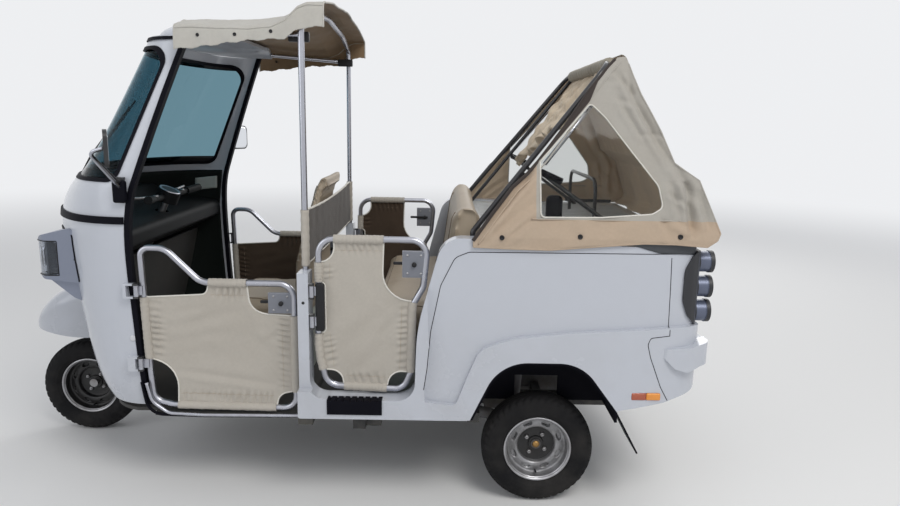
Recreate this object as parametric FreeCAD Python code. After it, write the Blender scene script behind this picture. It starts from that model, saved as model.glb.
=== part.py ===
import FreeCAD, Part
import math
import os

# An open-sided three-wheeled auto rickshaw: a cab with a rounded nose and four canvas half-doors,
# a passenger tub behind it, and a half-folded canvas hood over the luggage deck.
# Sizes are in millimetres. X runs forward from the rear axle, Y to the vehicle's left and Z up
# from the ground. place_origin() moves the finished pieces so that X = 0 is at mid-length.

V = FreeCAD.Vector

# Running gear
WHEELBASE = 2120
TRACK = 1194
TYRE_RADIUS = 228
TYRE_WIDTH = 116
RIM_FLANGE_RADIUS = 138
RIM_WIDTH = 88
BEAD_DEPTH = 12
RIM_HOLES = 8
HUB_RADIUS = 46
DRUM_RADIUS = 92
FORK_RAKE = 24.0
STEM_RADIUS = 17
AXLE_RADIUS = 20
FORK_LEG_RADIUS = 17
RUNNING_GAP = 0.06
ARM_PIVOT_X = 430
HALF_SHAFT_RADIUS = 14

# Body
CAB_FLOOR_Z = 350
TUB_FLOOR_Z = 396
SHEET = 14
SHELL_WALL = 22
CAB_HALF_WIDTH = 600
PILLAR_X = 931
PILLAR_WIDTH = 42
PILLAR_TOP_Z = 958
TUB_INNER_Y = 640
TUB_OUTER_Y = 712
PILLAR_INNER_Y = 604
PILLAR_OUTER_Y = 692
FLARE = 22
TUB_REAR_X = -609
TUB_TOP_FRONT_Z = 1110
TUB_TOP_REAR_Z = 1078
SILL_Z = 388
DECK_Z = 1096
ARCH_DEPTH = 205

# Doors and posts
DOOR_TUBE = 12.5
FRONT_DOOR_Y = 594
REAR_DOOR_Y = 656
CANVAS = 3
HINGE_PIN = 7
KNUCKLE_RADIUS = 10
KNUCKLE_HALF = 22
POST_RADIUS = 12
POST_Y = 618
ROOF_RAIL_Z = 1836

# Seats and hood
BENCH_TOP_Z = 790
BENCH_PANEL_X = 240
BENCH_BACK_TOP_Z = 1215
HOOD_HALF_TOP = 500
HOOD_TOP_Z = 1800
SKIN = 8
BOW_RADIUS = 11

# Small clearances
SOFT_GAP = 0.3
MOVING_GAP = 6

FRONT = WHEELBASE
NOSE_REACH = 231
HOOD_REACH = -662
LAMP_REACH = -645
MID_LENGTH = (FRONT + NOSE_REACH + HOOD_REACH) / 2

FRONT_HINGE = (FRONT - 522, FRONT_DOOR_Y + 23)
REAR_HINGE = (PILLAR_X - PILLAR_WIDTH / 2 - 12, REAR_DOOR_Y + 28)
FRONT_HINGES = (560, 860)
REAR_HINGES = (767, 887)

pieces = {}


def unit(v):
    return V(v).normalize()


def rounded_segments(corners, closed):
    """Straight runs and tangent arcs through (point, radius) corners."""
    count = len(corners)
    ends = []
    for i, (p, r) in enumerate(corners):
        if r <= 0 or (not closed and i in (0, count - 1)):
            ends.append((p, None, None, p, None))
            continue
        back = unit(corners[i - 1][0] - p)
        ahead = unit(corners[(i + 1) % count][0] - p)
        half = back.getAngle(ahead) / 2
        run = r / math.tan(half)
        middle = unit(back + ahead)
        centre = p + middle * (r / math.sin(half))
        ends.append((p + back * run, centre - middle * r, centre, p + ahead * run, back.cross(ahead)))
    segments = []
    for i in range(count):
        start, mid, centre, stop, normal = ends[i]
        if mid is not None:
            segments.append(("arc", start, mid, centre, stop, normal))
        if i == count - 1 and not closed:
            break
        after = ends[(i + 1) % count][0]
        if stop.distanceToPoint(after) > 0.01:
            segments.append(("line", stop, None, None, after, None))
    return segments


def rounded_wire(corners):
    edges = []
    for kind, a, mid, centre, b, normal in rounded_segments(corners, True):
        edges.append(Part.makeLine(a, b) if kind == "line" else Part.Arc(a, mid, b).toShape())
    return Part.Wire(Part.__sortEdges__(edges))


def side_prism(outline, y_low, y_high):
    """An outline of (x, z, corner radius) rows, as thick as the two Y values."""
    wire = rounded_wire([(V(x, y_low, z), r) for x, z, r in outline])
    return Part.Face(wire).extrude(V(0, y_high - y_low, 0))


def plan_prism(outline, z_low, z_high):
    """An outline of (x, y, corner radius) rows, as high as the two Z values."""
    wire = rounded_wire([(V(x, y, z_low), r) for x, y, r in outline])
    return Part.Face(wire).extrude(V(0, 0, z_high - z_low))


def front_prism(outline, x_low, x_high):
    """An outline of (y, z, corner radius) rows, as deep as the two X values."""
    wire = rounded_wire([(V(x_low, y, z), r) for y, z, r in outline])
    return Part.Face(wire).extrude(V(x_high - x_low, 0, 0))


def block(x0, x1, y0, y1, z0, z1):
    return Part.makeBox(x1 - x0, y1 - y0, z1 - z0, V(x0, y0, z0))


def rod(a, b, radius):
    return Part.makeCylinder(radius, a.distanceToPoint(b), a, b - a)


def tube(corners, radius, closed=False):
    """A round tube whose centre line runs through (x, y, z, bend radius) rows."""
    path = [(V(x, y, z), r) for x, y, z, r in corners]
    runs = []
    for kind, a, mid, centre, b, normal in rounded_segments(path, closed):
        if kind == "line":
            runs.append(rod(a, b, radius))
            continue
        spoke = a - centre
        axis = unit(spoke.cross(b - centre))
        face = Part.Face(Part.Wire(Part.makeCircle(radius, a, axis.cross(spoke))))
        turn = math.degrees(spoke.getAngle(b - centre))
        runs.append(face.revolve(centre, axis, turn))
    return runs[0].multiFuse(runs[1:]) if len(runs) > 1 else runs[0]


def join(shapes):
    return shapes[0].multiFuse(shapes[1:]).removeSplitter() if len(shapes) > 1 else shapes[0]


def mirrored(shape):
    return shape.mirror(V(0, 0, 0), V(0, 1, 0))


def both_sides(shape):
    return Part.makeCompound([shape, mirrored(shape)])


def turned(profile, centre):
    """A profile of (radius, y) rows turned about a wheel's axle through centre."""
    rows = [V(centre.x + r, centre.y + y, centre.z) for r, y in profile]
    wire = Part.makePolygon(rows + rows[:1])
    return Part.Face(wire).revolve(centre, V(0, 1, 0), 360)


# Nose, windscreen frame and header are one smooth form, given by level sections.
# z, back edge ahead of the front axle, half width, foremost point ahead of the front axle
NOSE_ROWS = [
    (376, -520, 588, -250),
    (440, -514, 598, -192),
    (600, -502, 600, -118),
    (860, -488, 600, -54),
    (1060, -483, 600, -15),
    (1262, -510, 592, -86),
]
SCREEN_ROWS = [
    (1262, -510, 592, -86),
    (1569, -620, 556, -327),
    (1838, -724, 520, -487),
]
FRAME_TOP_Z = 1838


def nose_section(z, back, half, tip, grow, run):
    """One level section: an oval front of three arcs, closed by a straight back."""
    x0 = FRONT + back
    a = tip - back + grow
    b = half + grow
    r = 0.8 * a
    big = (a * a + b * b - 2 * b * r) / (2 * (a - r))
    hub = V(x0 + a - big, 0, z)
    side = V(x0, b - r, z)
    joint = hub + unit(side - hub) * big
    middle = side + unit(unit(joint - side) + V(0, 1, 0)) * r
    left = Part.Arc(V(x0, b, z), middle, joint).toShape()
    right = Part.Arc(V(joint.x, -joint.y, z), V(middle.x, -middle.y, z), V(x0, -b, z)).toShape()
    front = Part.Arc(joint, V(x0 + a, 0, z), V(joint.x, -joint.y, z)).toShape()
    if run == 0:
        return Part.Wire([left, front, right, Part.makeLine(V(x0, -b, z), V(x0, b, z))])
    far_right, far_left = V(x0 - run, -b, z), V(x0 - run, b, z)
    return Part.Wire([left, front, right, Part.makeLine(V(x0, -b, z), far_right),
                      Part.makeLine(far_right, far_left), Part.makeLine(far_left, V(x0, b, z))])


def nose_form(grow, run=0):
    """The nose grown outward by grow, with its sides carried back by run."""
    return Part.makeLoft([nose_section(*row, grow, run) for row in NOSE_ROWS], True, False)


def screen_form(grow, run=0):
    """The windscreen and its pillars, from the waist up to the header."""
    return Part.makeLoft([nose_section(*row, grow, run) for row in SCREEN_ROWS], True, False)


def pillar_edge(z):
    """Back edge and half width of the nose form at height z, between its sections."""
    rows = NOSE_ROWS[:-1] + SCREEN_ROWS
    for low, high in zip(rows, rows[1:]):
        if z <= high[0]:
            t = (z - low[0]) / (high[0] - low[0])
            return FRONT + low[1] + t * (high[1] - low[1]), low[2] + t * (high[2] - low[2])
    return FRONT + rows[-1][1], rows[-1][2]


GLASS_LOW_Z = 1280
GLASS_HIGH_Z = 1800
JAMB_LOW, JAMB_HIGH = 60, 26
SEAL_WIDTH = 14


def screen_opening(shrink):
    """The wrap-round windscreen's opening, seen from the side; each pillar is left JAMB wide."""
    low, high = GLASS_LOW_Z + shrink, GLASS_HIGH_Z - shrink
    back_low = pillar_edge(low)[0] + JAMB_LOW + shrink
    back_high = pillar_edge(high)[0] + JAMB_HIGH + shrink
    return side_prism([(back_low, low, 70), (FRONT + 300, low, 0), (FRONT + 300, high, 0),
                       (back_high, high, 55)], -CAB_HALF_WIDTH - 50, CAB_HALF_WIDTH + 50)


def hinge_ears(hinge, z, reach, foot_x, foot_y):
    """Two ears and the pin between them, held to the body by a foot; a door's knuckle turns on it."""
    x, y = hinge
    ears = [rod(V(x, y, z - KNUCKLE_HALF - 8), V(x, y, z + KNUCKLE_HALF + 8), HINGE_PIN)]
    for z0 in (z - KNUCKLE_HALF - 8, z + KNUCKLE_HALF + SOFT_GAP):
        ears.append(block(x - 8, x + reach, y - 10, y + 9, z0, z0 + 8 - SOFT_GAP))
    ears.append(block(foot_x, x + reach, foot_y, y + 9, z - KNUCKLE_HALF - 8, z + KNUCKLE_HALF + 8))
    return join(ears)


def make_nose():
    outer, hollow = nose_form(0), nose_form(-SHELL_WALL, 60)
    mouth = front_prism([(-335, 300, 0), (335, 300, 0), (305, 800, 165), (-305, 800, 165)],
                        FRONT - 350, FRONT + 200)
    ears = []
    for z in FRONT_HINGES:
        back = pillar_edge(z)[0]
        ear = hinge_ears(FRONT_HINGE, z, 50, back + 3, CAB_HALF_WIDTH - 14)
        ears += [ear, mirrored(ear)]
    pieces["front_shell"] = join([outer.cut(hollow).cut(mouth)] + ears)
    screen = screen_form(0)
    glass_zone, seal_zone = screen_opening(SEAL_WIDTH), screen_opening(0)
    pieces["windscreen_frame"] = screen.cut(screen_form(-SHELL_WALL, 60)).cut(seal_zone)
    pieces["windscreen"] = screen_form(-7).cut(screen_form(-12, 60)).common(glass_zone)
    band = screen_form(4).cut(screen_form(-SHELL_WALL - 4, 60))
    seal = band.common(seal_zone).cut(glass_zone)
    belt = nose_form(8).common(block(FRONT - 484, FRONT + 300, -700, 700, 1120, 1148)).cut(outer)
    gutter = screen_form(7).common(
        block(FRONT - 716, FRONT + 300, -700, 700, FRAME_TOP_Z - 16, FRAME_TOP_Z - 4))
    return outer, hollow, [seal, belt, gutter.cut(screen)]


def door_seal(rows):
    """The rubber that follows the back edge of the left windscreen pillar."""
    levels = []
    for z, back, half, tip in rows:
        x0 = FRONT + back - SOFT_GAP
        corners = [V(x0 - 20, half - 26, z), V(x0, half - 26, z), V(x0, half + 4, z), V(x0 - 20, half + 4, z)]
        levels.append(Part.makePolygon(corners + corners[:1]))
    return Part.makeLoft(levels, True, False)


HEADER_BACK = -800
# z, half width, foremost point ahead of the front axle
HEADER_ROWS = [
    (1838, 522, -484),
    (1862, 512, -504),
    (1880, 488, -548),
    (1890, 440, -620),
]


def make_header():
    def header_form(drop, shrink):
        rows = [(z - drop, HEADER_BACK, half - shrink, tip - shrink) for z, half, tip in HEADER_ROWS]
        return Part.makeLoft([nose_section(*row, 0, 0) for row in rows], True, False)
    cut_back = block(FRONT + HEADER_BACK - 50, FRONT + HEADER_BACK + 12, -440, 440, 1800, 1900)
    outer = header_form(0, 0)
    pieces["roof_header"] = outer.cut(header_form(14, 20)).cut(cut_back)


def make_cab_seals(trims):
    y = CAB_HALF_WIDTH + 10 + SOFT_GAP
    sill = tube([(FRONT - 516, y, 480, 0), (FRONT - 537, y, 343, 70), (FRONT - 760, y, 339, 300),
                 (PILLAR_X + PILLAR_WIDTH / 2, y, 343, 0)], 6)
    left = [join([door_seal(NOSE_ROWS), door_seal(SCREEN_ROWS)]), sill]
    pieces["cab_seals"] = Part.makeCompound(trims + left + [mirrored(s) for s in left])


BULKHEAD_LOW_X, BULKHEAD_HIGH_X, BULKHEAD_TOP_Z = -250, -353, 930


def arch_space():
    """The room that both rear wheel arches take out of the body, liner included."""
    return both_sides(side_prism(ARCH_OUTLINE, TUB_OUTER_Y - ARCH_DEPTH, 900))


def make_floor(hollow):
    """Cab floor, raised tub floor and the sloping bulkhead behind the front wheel, one folded sheet."""
    step_x = PILLAR_X - 10
    rows = [
        (240, TUB_FLOOR_Z, 0),
        (step_x, TUB_FLOOR_Z, 20),
        (step_x + 30, CAB_FLOOR_Z, 20),
        (FRONT + BULKHEAD_LOW_X, CAB_FLOOR_Z, 60),
        (FRONT + BULKHEAD_HIGH_X, BULKHEAD_TOP_Z, 0),
        (FRONT + BULKHEAD_HIGH_X + SHEET, BULKHEAD_TOP_Z, 0),
        (FRONT + BULKHEAD_LOW_X + SHEET, CAB_FLOOR_Z - SHEET, 70),
        (step_x + 20, CAB_FLOOR_Z - SHEET, 10),
        (step_x - 10, TUB_FLOOR_Z - SHEET, 30),
        (240, TUB_FLOOR_Z - SHEET, 0),
    ]
    sheet = side_prism(rows, -TUB_INNER_Y, TUB_INNER_Y)
    front_end = FRONT - 560
    cab = block(PILLAR_X - PILLAR_WIDTH / 2, front_end, -PILLAR_INNER_Y, PILLAR_INNER_Y, 200, 500)
    tub = block(0, PILLAR_X - PILLAR_WIDTH / 2, -TUB_INNER_Y, TUB_INNER_Y, 200, 500)
    toe = sheet.common(hollow.common(block(front_end + 1, FRONT, -700, 700, 376, 1000)))
    low_z, back, half, tip = NOSE_ROWS[0]
    sole = Part.Face(nose_section(low_z - 60, back, half, tip, -SHELL_WALL, 60)).extrude(V(0, 0, 60))
    sole = sole.common(block(front_end - 1, FRONT, -560, 560, 200, 500))
    return join([sheet.common(cab), sheet.common(tub), sheet.common(sole), toe]).cut(arch_space())


def steering_axis(s):
    """The point at distance s up the steering axis from the front axle."""
    rake = math.radians(FORK_RAKE)
    return V(FRONT - s * math.sin(rake), 0, TYRE_RADIUS + s * math.cos(rake))


HEAD_LOW, HEAD_HIGH = 430, 700
TOW_REACH, TOW_WIDTH, TOW_Z, TOW_RADIUS = 48, 16, 310, 12
BAR_AT = 1035


def make_chassis():
    rail_y, rail_z0, rail_z1 = 290, 284, CAB_FLOOR_Z - SHEET
    parts = []
    for y in (rail_y, -rail_y):
        parts.append(block(-500, FRONT - 300, y - 22, y + 22, rail_z0, rail_z1))
        parts.append(block(40, 84, y - 22, y + 22, rail_z1, 590))
    for x in (-500, 230, 640, PILLAR_X, 1300, FRONT - 344):
        parts.append(block(x, x + 44, -rail_y, rail_y, rail_z0, rail_z1))
    for x in (PILLAR_X - 10, 640):
        parts.append(block(x, x + 60, -600, 600, rail_z1 - 34, rail_z1))
    for x, low_z in ((240, 342), (700, rail_z1 - 30)):
        parts.append(block(x, x + 50, -TUB_INNER_Y, TUB_INNER_Y, low_z, TUB_FLOOR_Z - SHEET))
        parts.append(block(x, x + 50, -rail_y, rail_y, rail_z1 - 30, TUB_FLOOR_Z - SHEET))
    head = rod(steering_axis(HEAD_LOW), steering_axis(HEAD_HIGH), STEM_RADIUS + 13)
    slope = (BULKHEAD_HIGH_X - BULKHEAD_LOW_X) / (BULKHEAD_TOP_Z - CAB_FLOOR_Z + SHEET)
    face_low, face_high = 420, 835
    foot = FRONT + BULKHEAD_LOW_X + SHEET
    spine_outline = [(FRONT - 344, rail_z0, 0), (FRONT - 250, rail_z0, 0), (FRONT - 232, 370, 60),
                     (FRONT - 200, 600, 40), (FRONT - 275, face_high, 0),
                     (foot + slope * (face_high - rail_z1), face_high, 0),
                     (foot + slope * (face_low - rail_z1), face_low, 0), (FRONT - 262, rail_z1, 0),
                     (FRONT - 344, rail_z1, 0)]
    spine = side_prism(spine_outline, -24, 24)
    bore = rod(steering_axis(HEAD_LOW - 40), steering_axis(HEAD_HIGH + 400), STEM_RADIUS + RUNNING_GAP)
    eye = block(-500 - TOW_REACH, -500, -TOW_WIDTH / 2, TOW_WIDTH / 2, rail_z0, rail_z1)
    eye_bore = rod(V(-500 - TOW_REACH / 2, -50, TOW_Z), V(-500 - TOW_REACH / 2, 50, TOW_Z), TOW_RADIUS)
    pieces["chassis"] = join(parts + [spine, head, eye.cut(eye_bore)]).cut(bore).cut(pieces["floor_pan"])


def make_seat_box():
    """The sheet box under the passenger bench, open below, and the panel behind its backrest."""
    top, front = BENCH_TOP_Z - 130, 690
    outer = block(BENCH_PANEL_X, front, -560, 560, TUB_FLOOR_Z, top)
    inner = block(BENCH_PANEL_X - 5, front - SHEET, -560 + SHEET, 560 - SHEET, TUB_FLOOR_Z - 5, top - SHEET)
    panel = block(BENCH_PANEL_X, BENCH_PANEL_X + SHEET, -TUB_INNER_Y, TUB_INNER_Y, TUB_FLOOR_Z, DECK_Z - 12)
    vents = [block(front - 30, front + 10, y - 70, y + 70, z, z + 12)
             for y in (-260, 0, 260) for z in range(TUB_FLOOR_Z + 60, TUB_FLOOR_Z + 190, 34)]
    pieces["seat_box"] = join([outer.cut(inner), panel]).cut(Part.makeCompound(vents)).cut(arch_space())


def tub_side_outline():
    """Seen from the side: B-pillar, sill, door opening, wing and rear edge of the tub's side wall."""
    front, back = PILLAR_X + PILLAR_WIDTH / 2, PILLAR_X - PILLAR_WIDTH / 2
    return [
        (front, SILL_Z, 8),
        (front, PILLAR_TOP_Z, 4),
        (back, PILLAR_TOP_Z, 4),
        (back, SILL_Z + 83, 65),
        (500, SILL_Z + 78, 72),
        (492, 760, 700),
        (398, TUB_TOP_FRONT_Z, 95),
        (-572, TUB_TOP_REAR_Z, 45),
        (TUB_REAR_X, 700, 400),
        (TUB_REAR_X, 528, 40),
        (-470, 476, 60),
        (-290, 440, 0),
        (-290, 392, 0),
        (290, 392, 0),
        (300, SILL_Z + 2, 0),
    ]


ARCH_OUTLINE = [(285, 350, 0), (286, 385, 0), (172, 631, 170), (-142, 631, 170), (-292, 432, 0), (-292, 350, 0)]


LAMP_LOW_Z, LAMP_HIGH_Z = 780, 1070
# The rounded corner that the tail lamps' plate fills, seen from the side
LAMP_CORNER = [(TUB_REAR_X - 60, 1094, 0), (-594, 1090, 0), (-548, 1056, 40), (-519, 1000, 60),
               (-519, 880, 80), (-540, 822, 60), (-580, LAMP_LOW_Z, 12),
               (TUB_REAR_X - 60, LAMP_LOW_Z - 4, 0)]
SOCKET_DEPTH = 150


def wall_band(inner_y, outer_y, x_front, z_low, z_high):
    """A level slice of side wall, its rear corner turned in towards the tail."""
    return plan_prism([(x_front, inner_y, 0), (x_front, outer_y - 4, 0), (250, outer_y, 3000),
                       (-420, outer_y, 900), (TUB_REAR_X, outer_y - 28, 90), (TUB_REAR_X, inner_y - 60, 0),
                       (TUB_REAR_X + 60, inner_y - 60, 0), (TUB_REAR_X + 60, inner_y, 0)],
                      z_low, z_high)


def bumper_end():
    """The moulding at the tub's rear corner, where the bumper turns on to the side."""
    side = side_prism([(-425, 690, 0), (-545, 702, 60), (TUB_REAR_X - 40, 724, 0), (TUB_REAR_X - 40, 634, 0),
                       (-598, 626, 30), (-548, 604, 30), (-498, 618, 30)], 600, 800)
    plan = plan_prism([(-425, TUB_OUTER_Y - 20, 0), (-462, TUB_OUTER_Y + FLARE + 2, 30),
                       (-560, TUB_OUTER_Y + FLARE + 8, 60), (BUMPER_REACH, TUB_OUTER_Y + FLARE - 26, 40),
                       (BUMPER_REACH, TUB_INNER_Y + SOFT_GAP, 0), (-580, TUB_INNER_Y + SOFT_GAP, 0),
                       (-580, TUB_OUTER_Y - 20, 0)], 600, 740)
    return side.common(plan)


def make_tub_side():
    """The left side wall with its flared lower half, recessed panel, wheel arch and lamp corner."""
    flared = wall_band(TUB_INNER_Y, TUB_OUTER_Y + FLARE, PILLAR_X + PILLAR_WIDTH / 2, 300, 1200)
    wall = flared.common(side_prism(tub_side_outline(), 500, 800))
    wall = wall.cut(side_prism(ARCH_OUTLINE, 400, 900))
    panel = [(-357, 1200, 0), (452, 1200, 0), (452, 850, 0), (443, 640, 200), (470, 466, 20), (340, 450, 30),
             (300, 560, 60), (252, 680, 80), (120, 726, 300), (-100, 752, 600), (-700, 790, 0), (-700, 1200, 0)]
    recess = side_prism(panel, TUB_OUTER_Y - 200, TUB_OUTER_Y + 200).common(
        wall_band(TUB_INNER_Y - 30, TUB_OUTER_Y + FLARE + 30, 460, 440, 1200).cut(
            wall_band(TUB_INNER_Y - 60, TUB_OUTER_Y, 520, 400, 1300)))
    wall = wall.cut(recess)
    notch = side_prism(LAMP_CORNER, TUB_INNER_Y - 100, TUB_OUTER_Y + 60)
    back, front = PILLAR_X - PILLAR_WIDTH / 2, PILLAR_X + PILLAR_WIDTH / 2
    wall = wall.cut(notch).cut(block(back - 20, front + 10, PILLAR_OUTER_Y, 900, SILL_Z + 110, 1200))
    pillar = block(back, front, PILLAR_INNER_Y, PILLAR_OUTER_Y, SILL_Z, PILLAR_TOP_Z)
    socket = rod(V(PILLAR_X, POST_Y, PILLAR_TOP_Z - SOCKET_DEPTH), V(PILLAR_X, POST_Y, PILLAR_TOP_Z + 10),
                 POST_RADIUS + RUNNING_GAP)
    ears = [hinge_ears(REAR_HINGE, z, 30, back + 2, REAR_HINGE[1] - 10) for z in REAR_HINGES]
    hood_foot = block(262, 306, TUB_INNER_Y - 16, TUB_INNER_Y + 4, 1050, 1098)
    return join([wall, pillar, hood_foot, bumper_end()] + ears).cut(socket)


LAMP_Y, LAMP_PLATE = 628, 90
# centre height, radius
TAIL_LAMPS = [(1020, 40), (922, 41), (825, 42)]


def make_tail():
    plate = plan_prism([(TUB_REAR_X + LAMP_PLATE, TUB_INNER_Y - 60, 0),
                        (TUB_REAR_X + LAMP_PLATE, TUB_OUTER_Y - 4, 0),
                        (TUB_REAR_X + 60, TUB_OUTER_Y - 8, 60), (TUB_REAR_X + 26, TUB_INNER_Y + 44, 20),
                        (TUB_REAR_X + 24, TUB_INNER_Y - 60, 0)], LAMP_LOW_Z + SOFT_GAP, LAMP_HIGH_Z)
    corner = side_prism(LAMP_CORNER, 400, 900)
    corner.translate(V(-SOFT_GAP, 0, 0))
    plate = plate.common(corner)
    pods, lenses = [plate], []
    for z, radius in TAIL_LAMPS:
        start, stop = V(TUB_REAR_X + 26, LAMP_Y, z), V(LAMP_REACH + 2, LAMP_Y, z)
        body = rod(start + V(4, 0, 0), stop, radius)
        rim = rod(stop + V(14, 0, 0), V(LAMP_REACH, LAMP_Y, z), radius + 3)
        well = rod(stop + V(10, 0, 0), stop - V(10, 0, 0), radius - 5)
        pods.append(join([body, rim]).cut(well))
        lenses.append(rod(stop + V(10, 0, 0), stop + V(1, 0, 0), radius - 5))
    lamp = join(pods)
    pieces["tail_lamps"] = both_sides(lamp)
    return lenses


BUMPER_REACH = TUB_REAR_X - 26
PLATE_Z, PLATE_SPACING, PLATE_HOLE_RADIUS = 800, 180, 3.5


def make_rear_panel():
    y = TUB_INNER_Y - 60
    sheet = side_prism([(TUB_REAR_X, 470, 0), (TUB_REAR_X, 700, 400), (TUB_REAR_X + 30, DECK_Z - 12, 0),
                        (TUB_REAR_X + 52, DECK_Z - 12, 0), (TUB_REAR_X + 24, 700, 380),
                        (TUB_REAR_X + 24, 470, 0)], -y, y)
    bumper = plan_prism([(TUB_REAR_X, -TUB_INNER_Y, 0), (TUB_REAR_X, TUB_INNER_Y, 0),
                         (BUMPER_REACH, TUB_INNER_Y, 0), (BUMPER_REACH - 12, 0, 1500),
                         (BUMPER_REACH, -TUB_INNER_Y, 0)], 600, 712)
    recess = block(TUB_REAR_X - 10, TUB_REAR_X + 10, -270, 270, 730, 870)
    plate_holes = [rod(V(TUB_REAR_X - 20, y0, PLATE_Z), V(TUB_REAR_X + 60, y0, PLATE_Z), PLATE_HOLE_RADIUS)
                   for y0 in (-PLATE_SPACING / 2, PLATE_SPACING / 2)]
    pieces["rear_panel"] = join([sheet.cut(recess), bumper]).cut(Part.makeCompound(plate_holes))


def make_wheel_arches():
    """The black liner over each rear wheel and the flap behind it."""
    outer = side_prism([(x, z, r) for x, z, r in ARCH_OUTLINE], TUB_OUTER_Y - ARCH_DEPTH, TUB_OUTER_Y + FLARE - 2)
    outer = outer.common(block(-400, 400, 300, 900, 392, 900))
    inner = side_prism([(275, 350, 0), (276, 385, 0), (166, 623, 165), (-136, 623, 165), (-282, 432, 0),
                        (-282, 350, 0)], TUB_OUTER_Y - ARCH_DEPTH + 8, TUB_OUTER_Y + FLARE + 40)
    wall = outer.cut(inner)
    shaft_slot = block(-90, 90, 400, 600, 300, 500)
    flap = side_prism([(-292, 432, 0), (-286, 432, 0), (-386, 246, 0), (-392, 249, 0)],
                      TUB_INNER_Y - 120, TUB_OUTER_Y - 10)
    pieces["wheel_arches"] = both_sides(join([wall.cut(shaft_slot), flap]))


STEP_X, STEP_Z = (625, 838), (409, 469)


def make_steps():
    tread = block(*STEP_X, TUB_OUTER_Y + FLARE - 40, TUB_OUTER_Y + FLARE + 2, *STEP_Z)
    grooves = [block(STEP_X[0] + 15 + 26 * i, STEP_X[0] + 23 + 26 * i, 600, 900, STEP_Z[1] - 6, STEP_Z[1] + 10)
               for i in range(8)]
    return tread.cut(Part.makeCompound(grooves))


def make_deck():
    x0, x1, y = TUB_REAR_X + 40, BENCH_PANEL_X + SHEET, TUB_INNER_Y
    plate = block(x0, x1, -y, y, DECK_Z - 12, DECK_Z)
    ribs = [block(x0 + 40, x1 - 30, -504 + 56 * i - 9, -504 + 56 * i + 9, DECK_Z - 1, DECK_Z + 4)
            for i in range(19)]
    rail = tube([(-250, -300, DECK_Z, 0), (-250, -300, 1300, 60), (-250, 300, 1300, 60),
                 (-250, 300, DECK_Z, 0)], 8)
    pieces["luggage_deck"] = join([plate] + ribs)
    return rail


def cushion(x0, x1, y, z0, z1, radius):
    return plan_prism([(x0, -y, radius), (x1, -y, radius), (x1, y, radius), (x0, y, radius)], z0, z1)


def leaning_pad(rows, y):
    return side_prism(rows, -y, y)


def make_seats():
    top = BENCH_TOP_Z
    pieces["bench_cushion"] = cushion(BENCH_PANEL_X + SHEET + SOFT_GAP, 712, 565, top - 130 + SOFT_GAP, top, 50)
    pieces["bench_backrest"] = leaning_pad(
        [(394, top + SOFT_GAP, 20), (394, top + 60, 200), (345, BENCH_BACK_TOP_Z, 45),
         (BENCH_PANEL_X + SHEET + SOFT_GAP, BENCH_BACK_TOP_Z, 45),
         (BENCH_PANEL_X + SHEET + SOFT_GAP, top + SOFT_GAP, 20)], 560)
    box_top = 610
    outer = block(1020, 1370, -250, 250, CAB_FLOOR_Z, box_top)
    inner = block(1020 + SHEET, 1370 - SHEET, -250 + SHEET, 250 - SHEET, CAB_FLOOR_Z - 5,
                  box_top - SHEET)
    pieces["driver_seat_base"] = outer.cut(inner)
    pieces["driver_cushion"] = cushion(1000, 1410, 250, box_top + SOFT_GAP, box_top + 110, 60)
    pieces["driver_backrest"] = leaning_pad(
        [(1075, box_top + 110 + SOFT_GAP, 30), (1068, 900, 200), (970, 1236, 60), (938, 1290, 25), (905, 1290, 16),
         (907, 1243, 8), (940, 1236, 20), (968, 1130, 200), (968, box_top + 110 + SOFT_GAP, 30)], 215)


def make_dash(hollow):
    rows = [(FRONT - 470, 1010, 20), (FRONT - 470, 1080, 30), (FRONT - 240, 1120, 60), (FRONT - 190, 1190, 30),
            (FRONT + 40, 1190, 0), (FRONT + 40, 985, 0), (FRONT - 380, 960, 20)]
    dash = side_prism(rows, -575, 575).common(hollow)
    column = rod(steering_axis(600), steering_axis(1300), STEM_RADIUS + 14)
    pieces["dashboard"] = dash.cut(column)


HEADLAMP_Y, HEADLAMP_Z = 405, 968
HEADLAMP_HALF, LENS_HALF, LENS_WRAP, LENS_DEPTH = 92, 71, 96, 15


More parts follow.
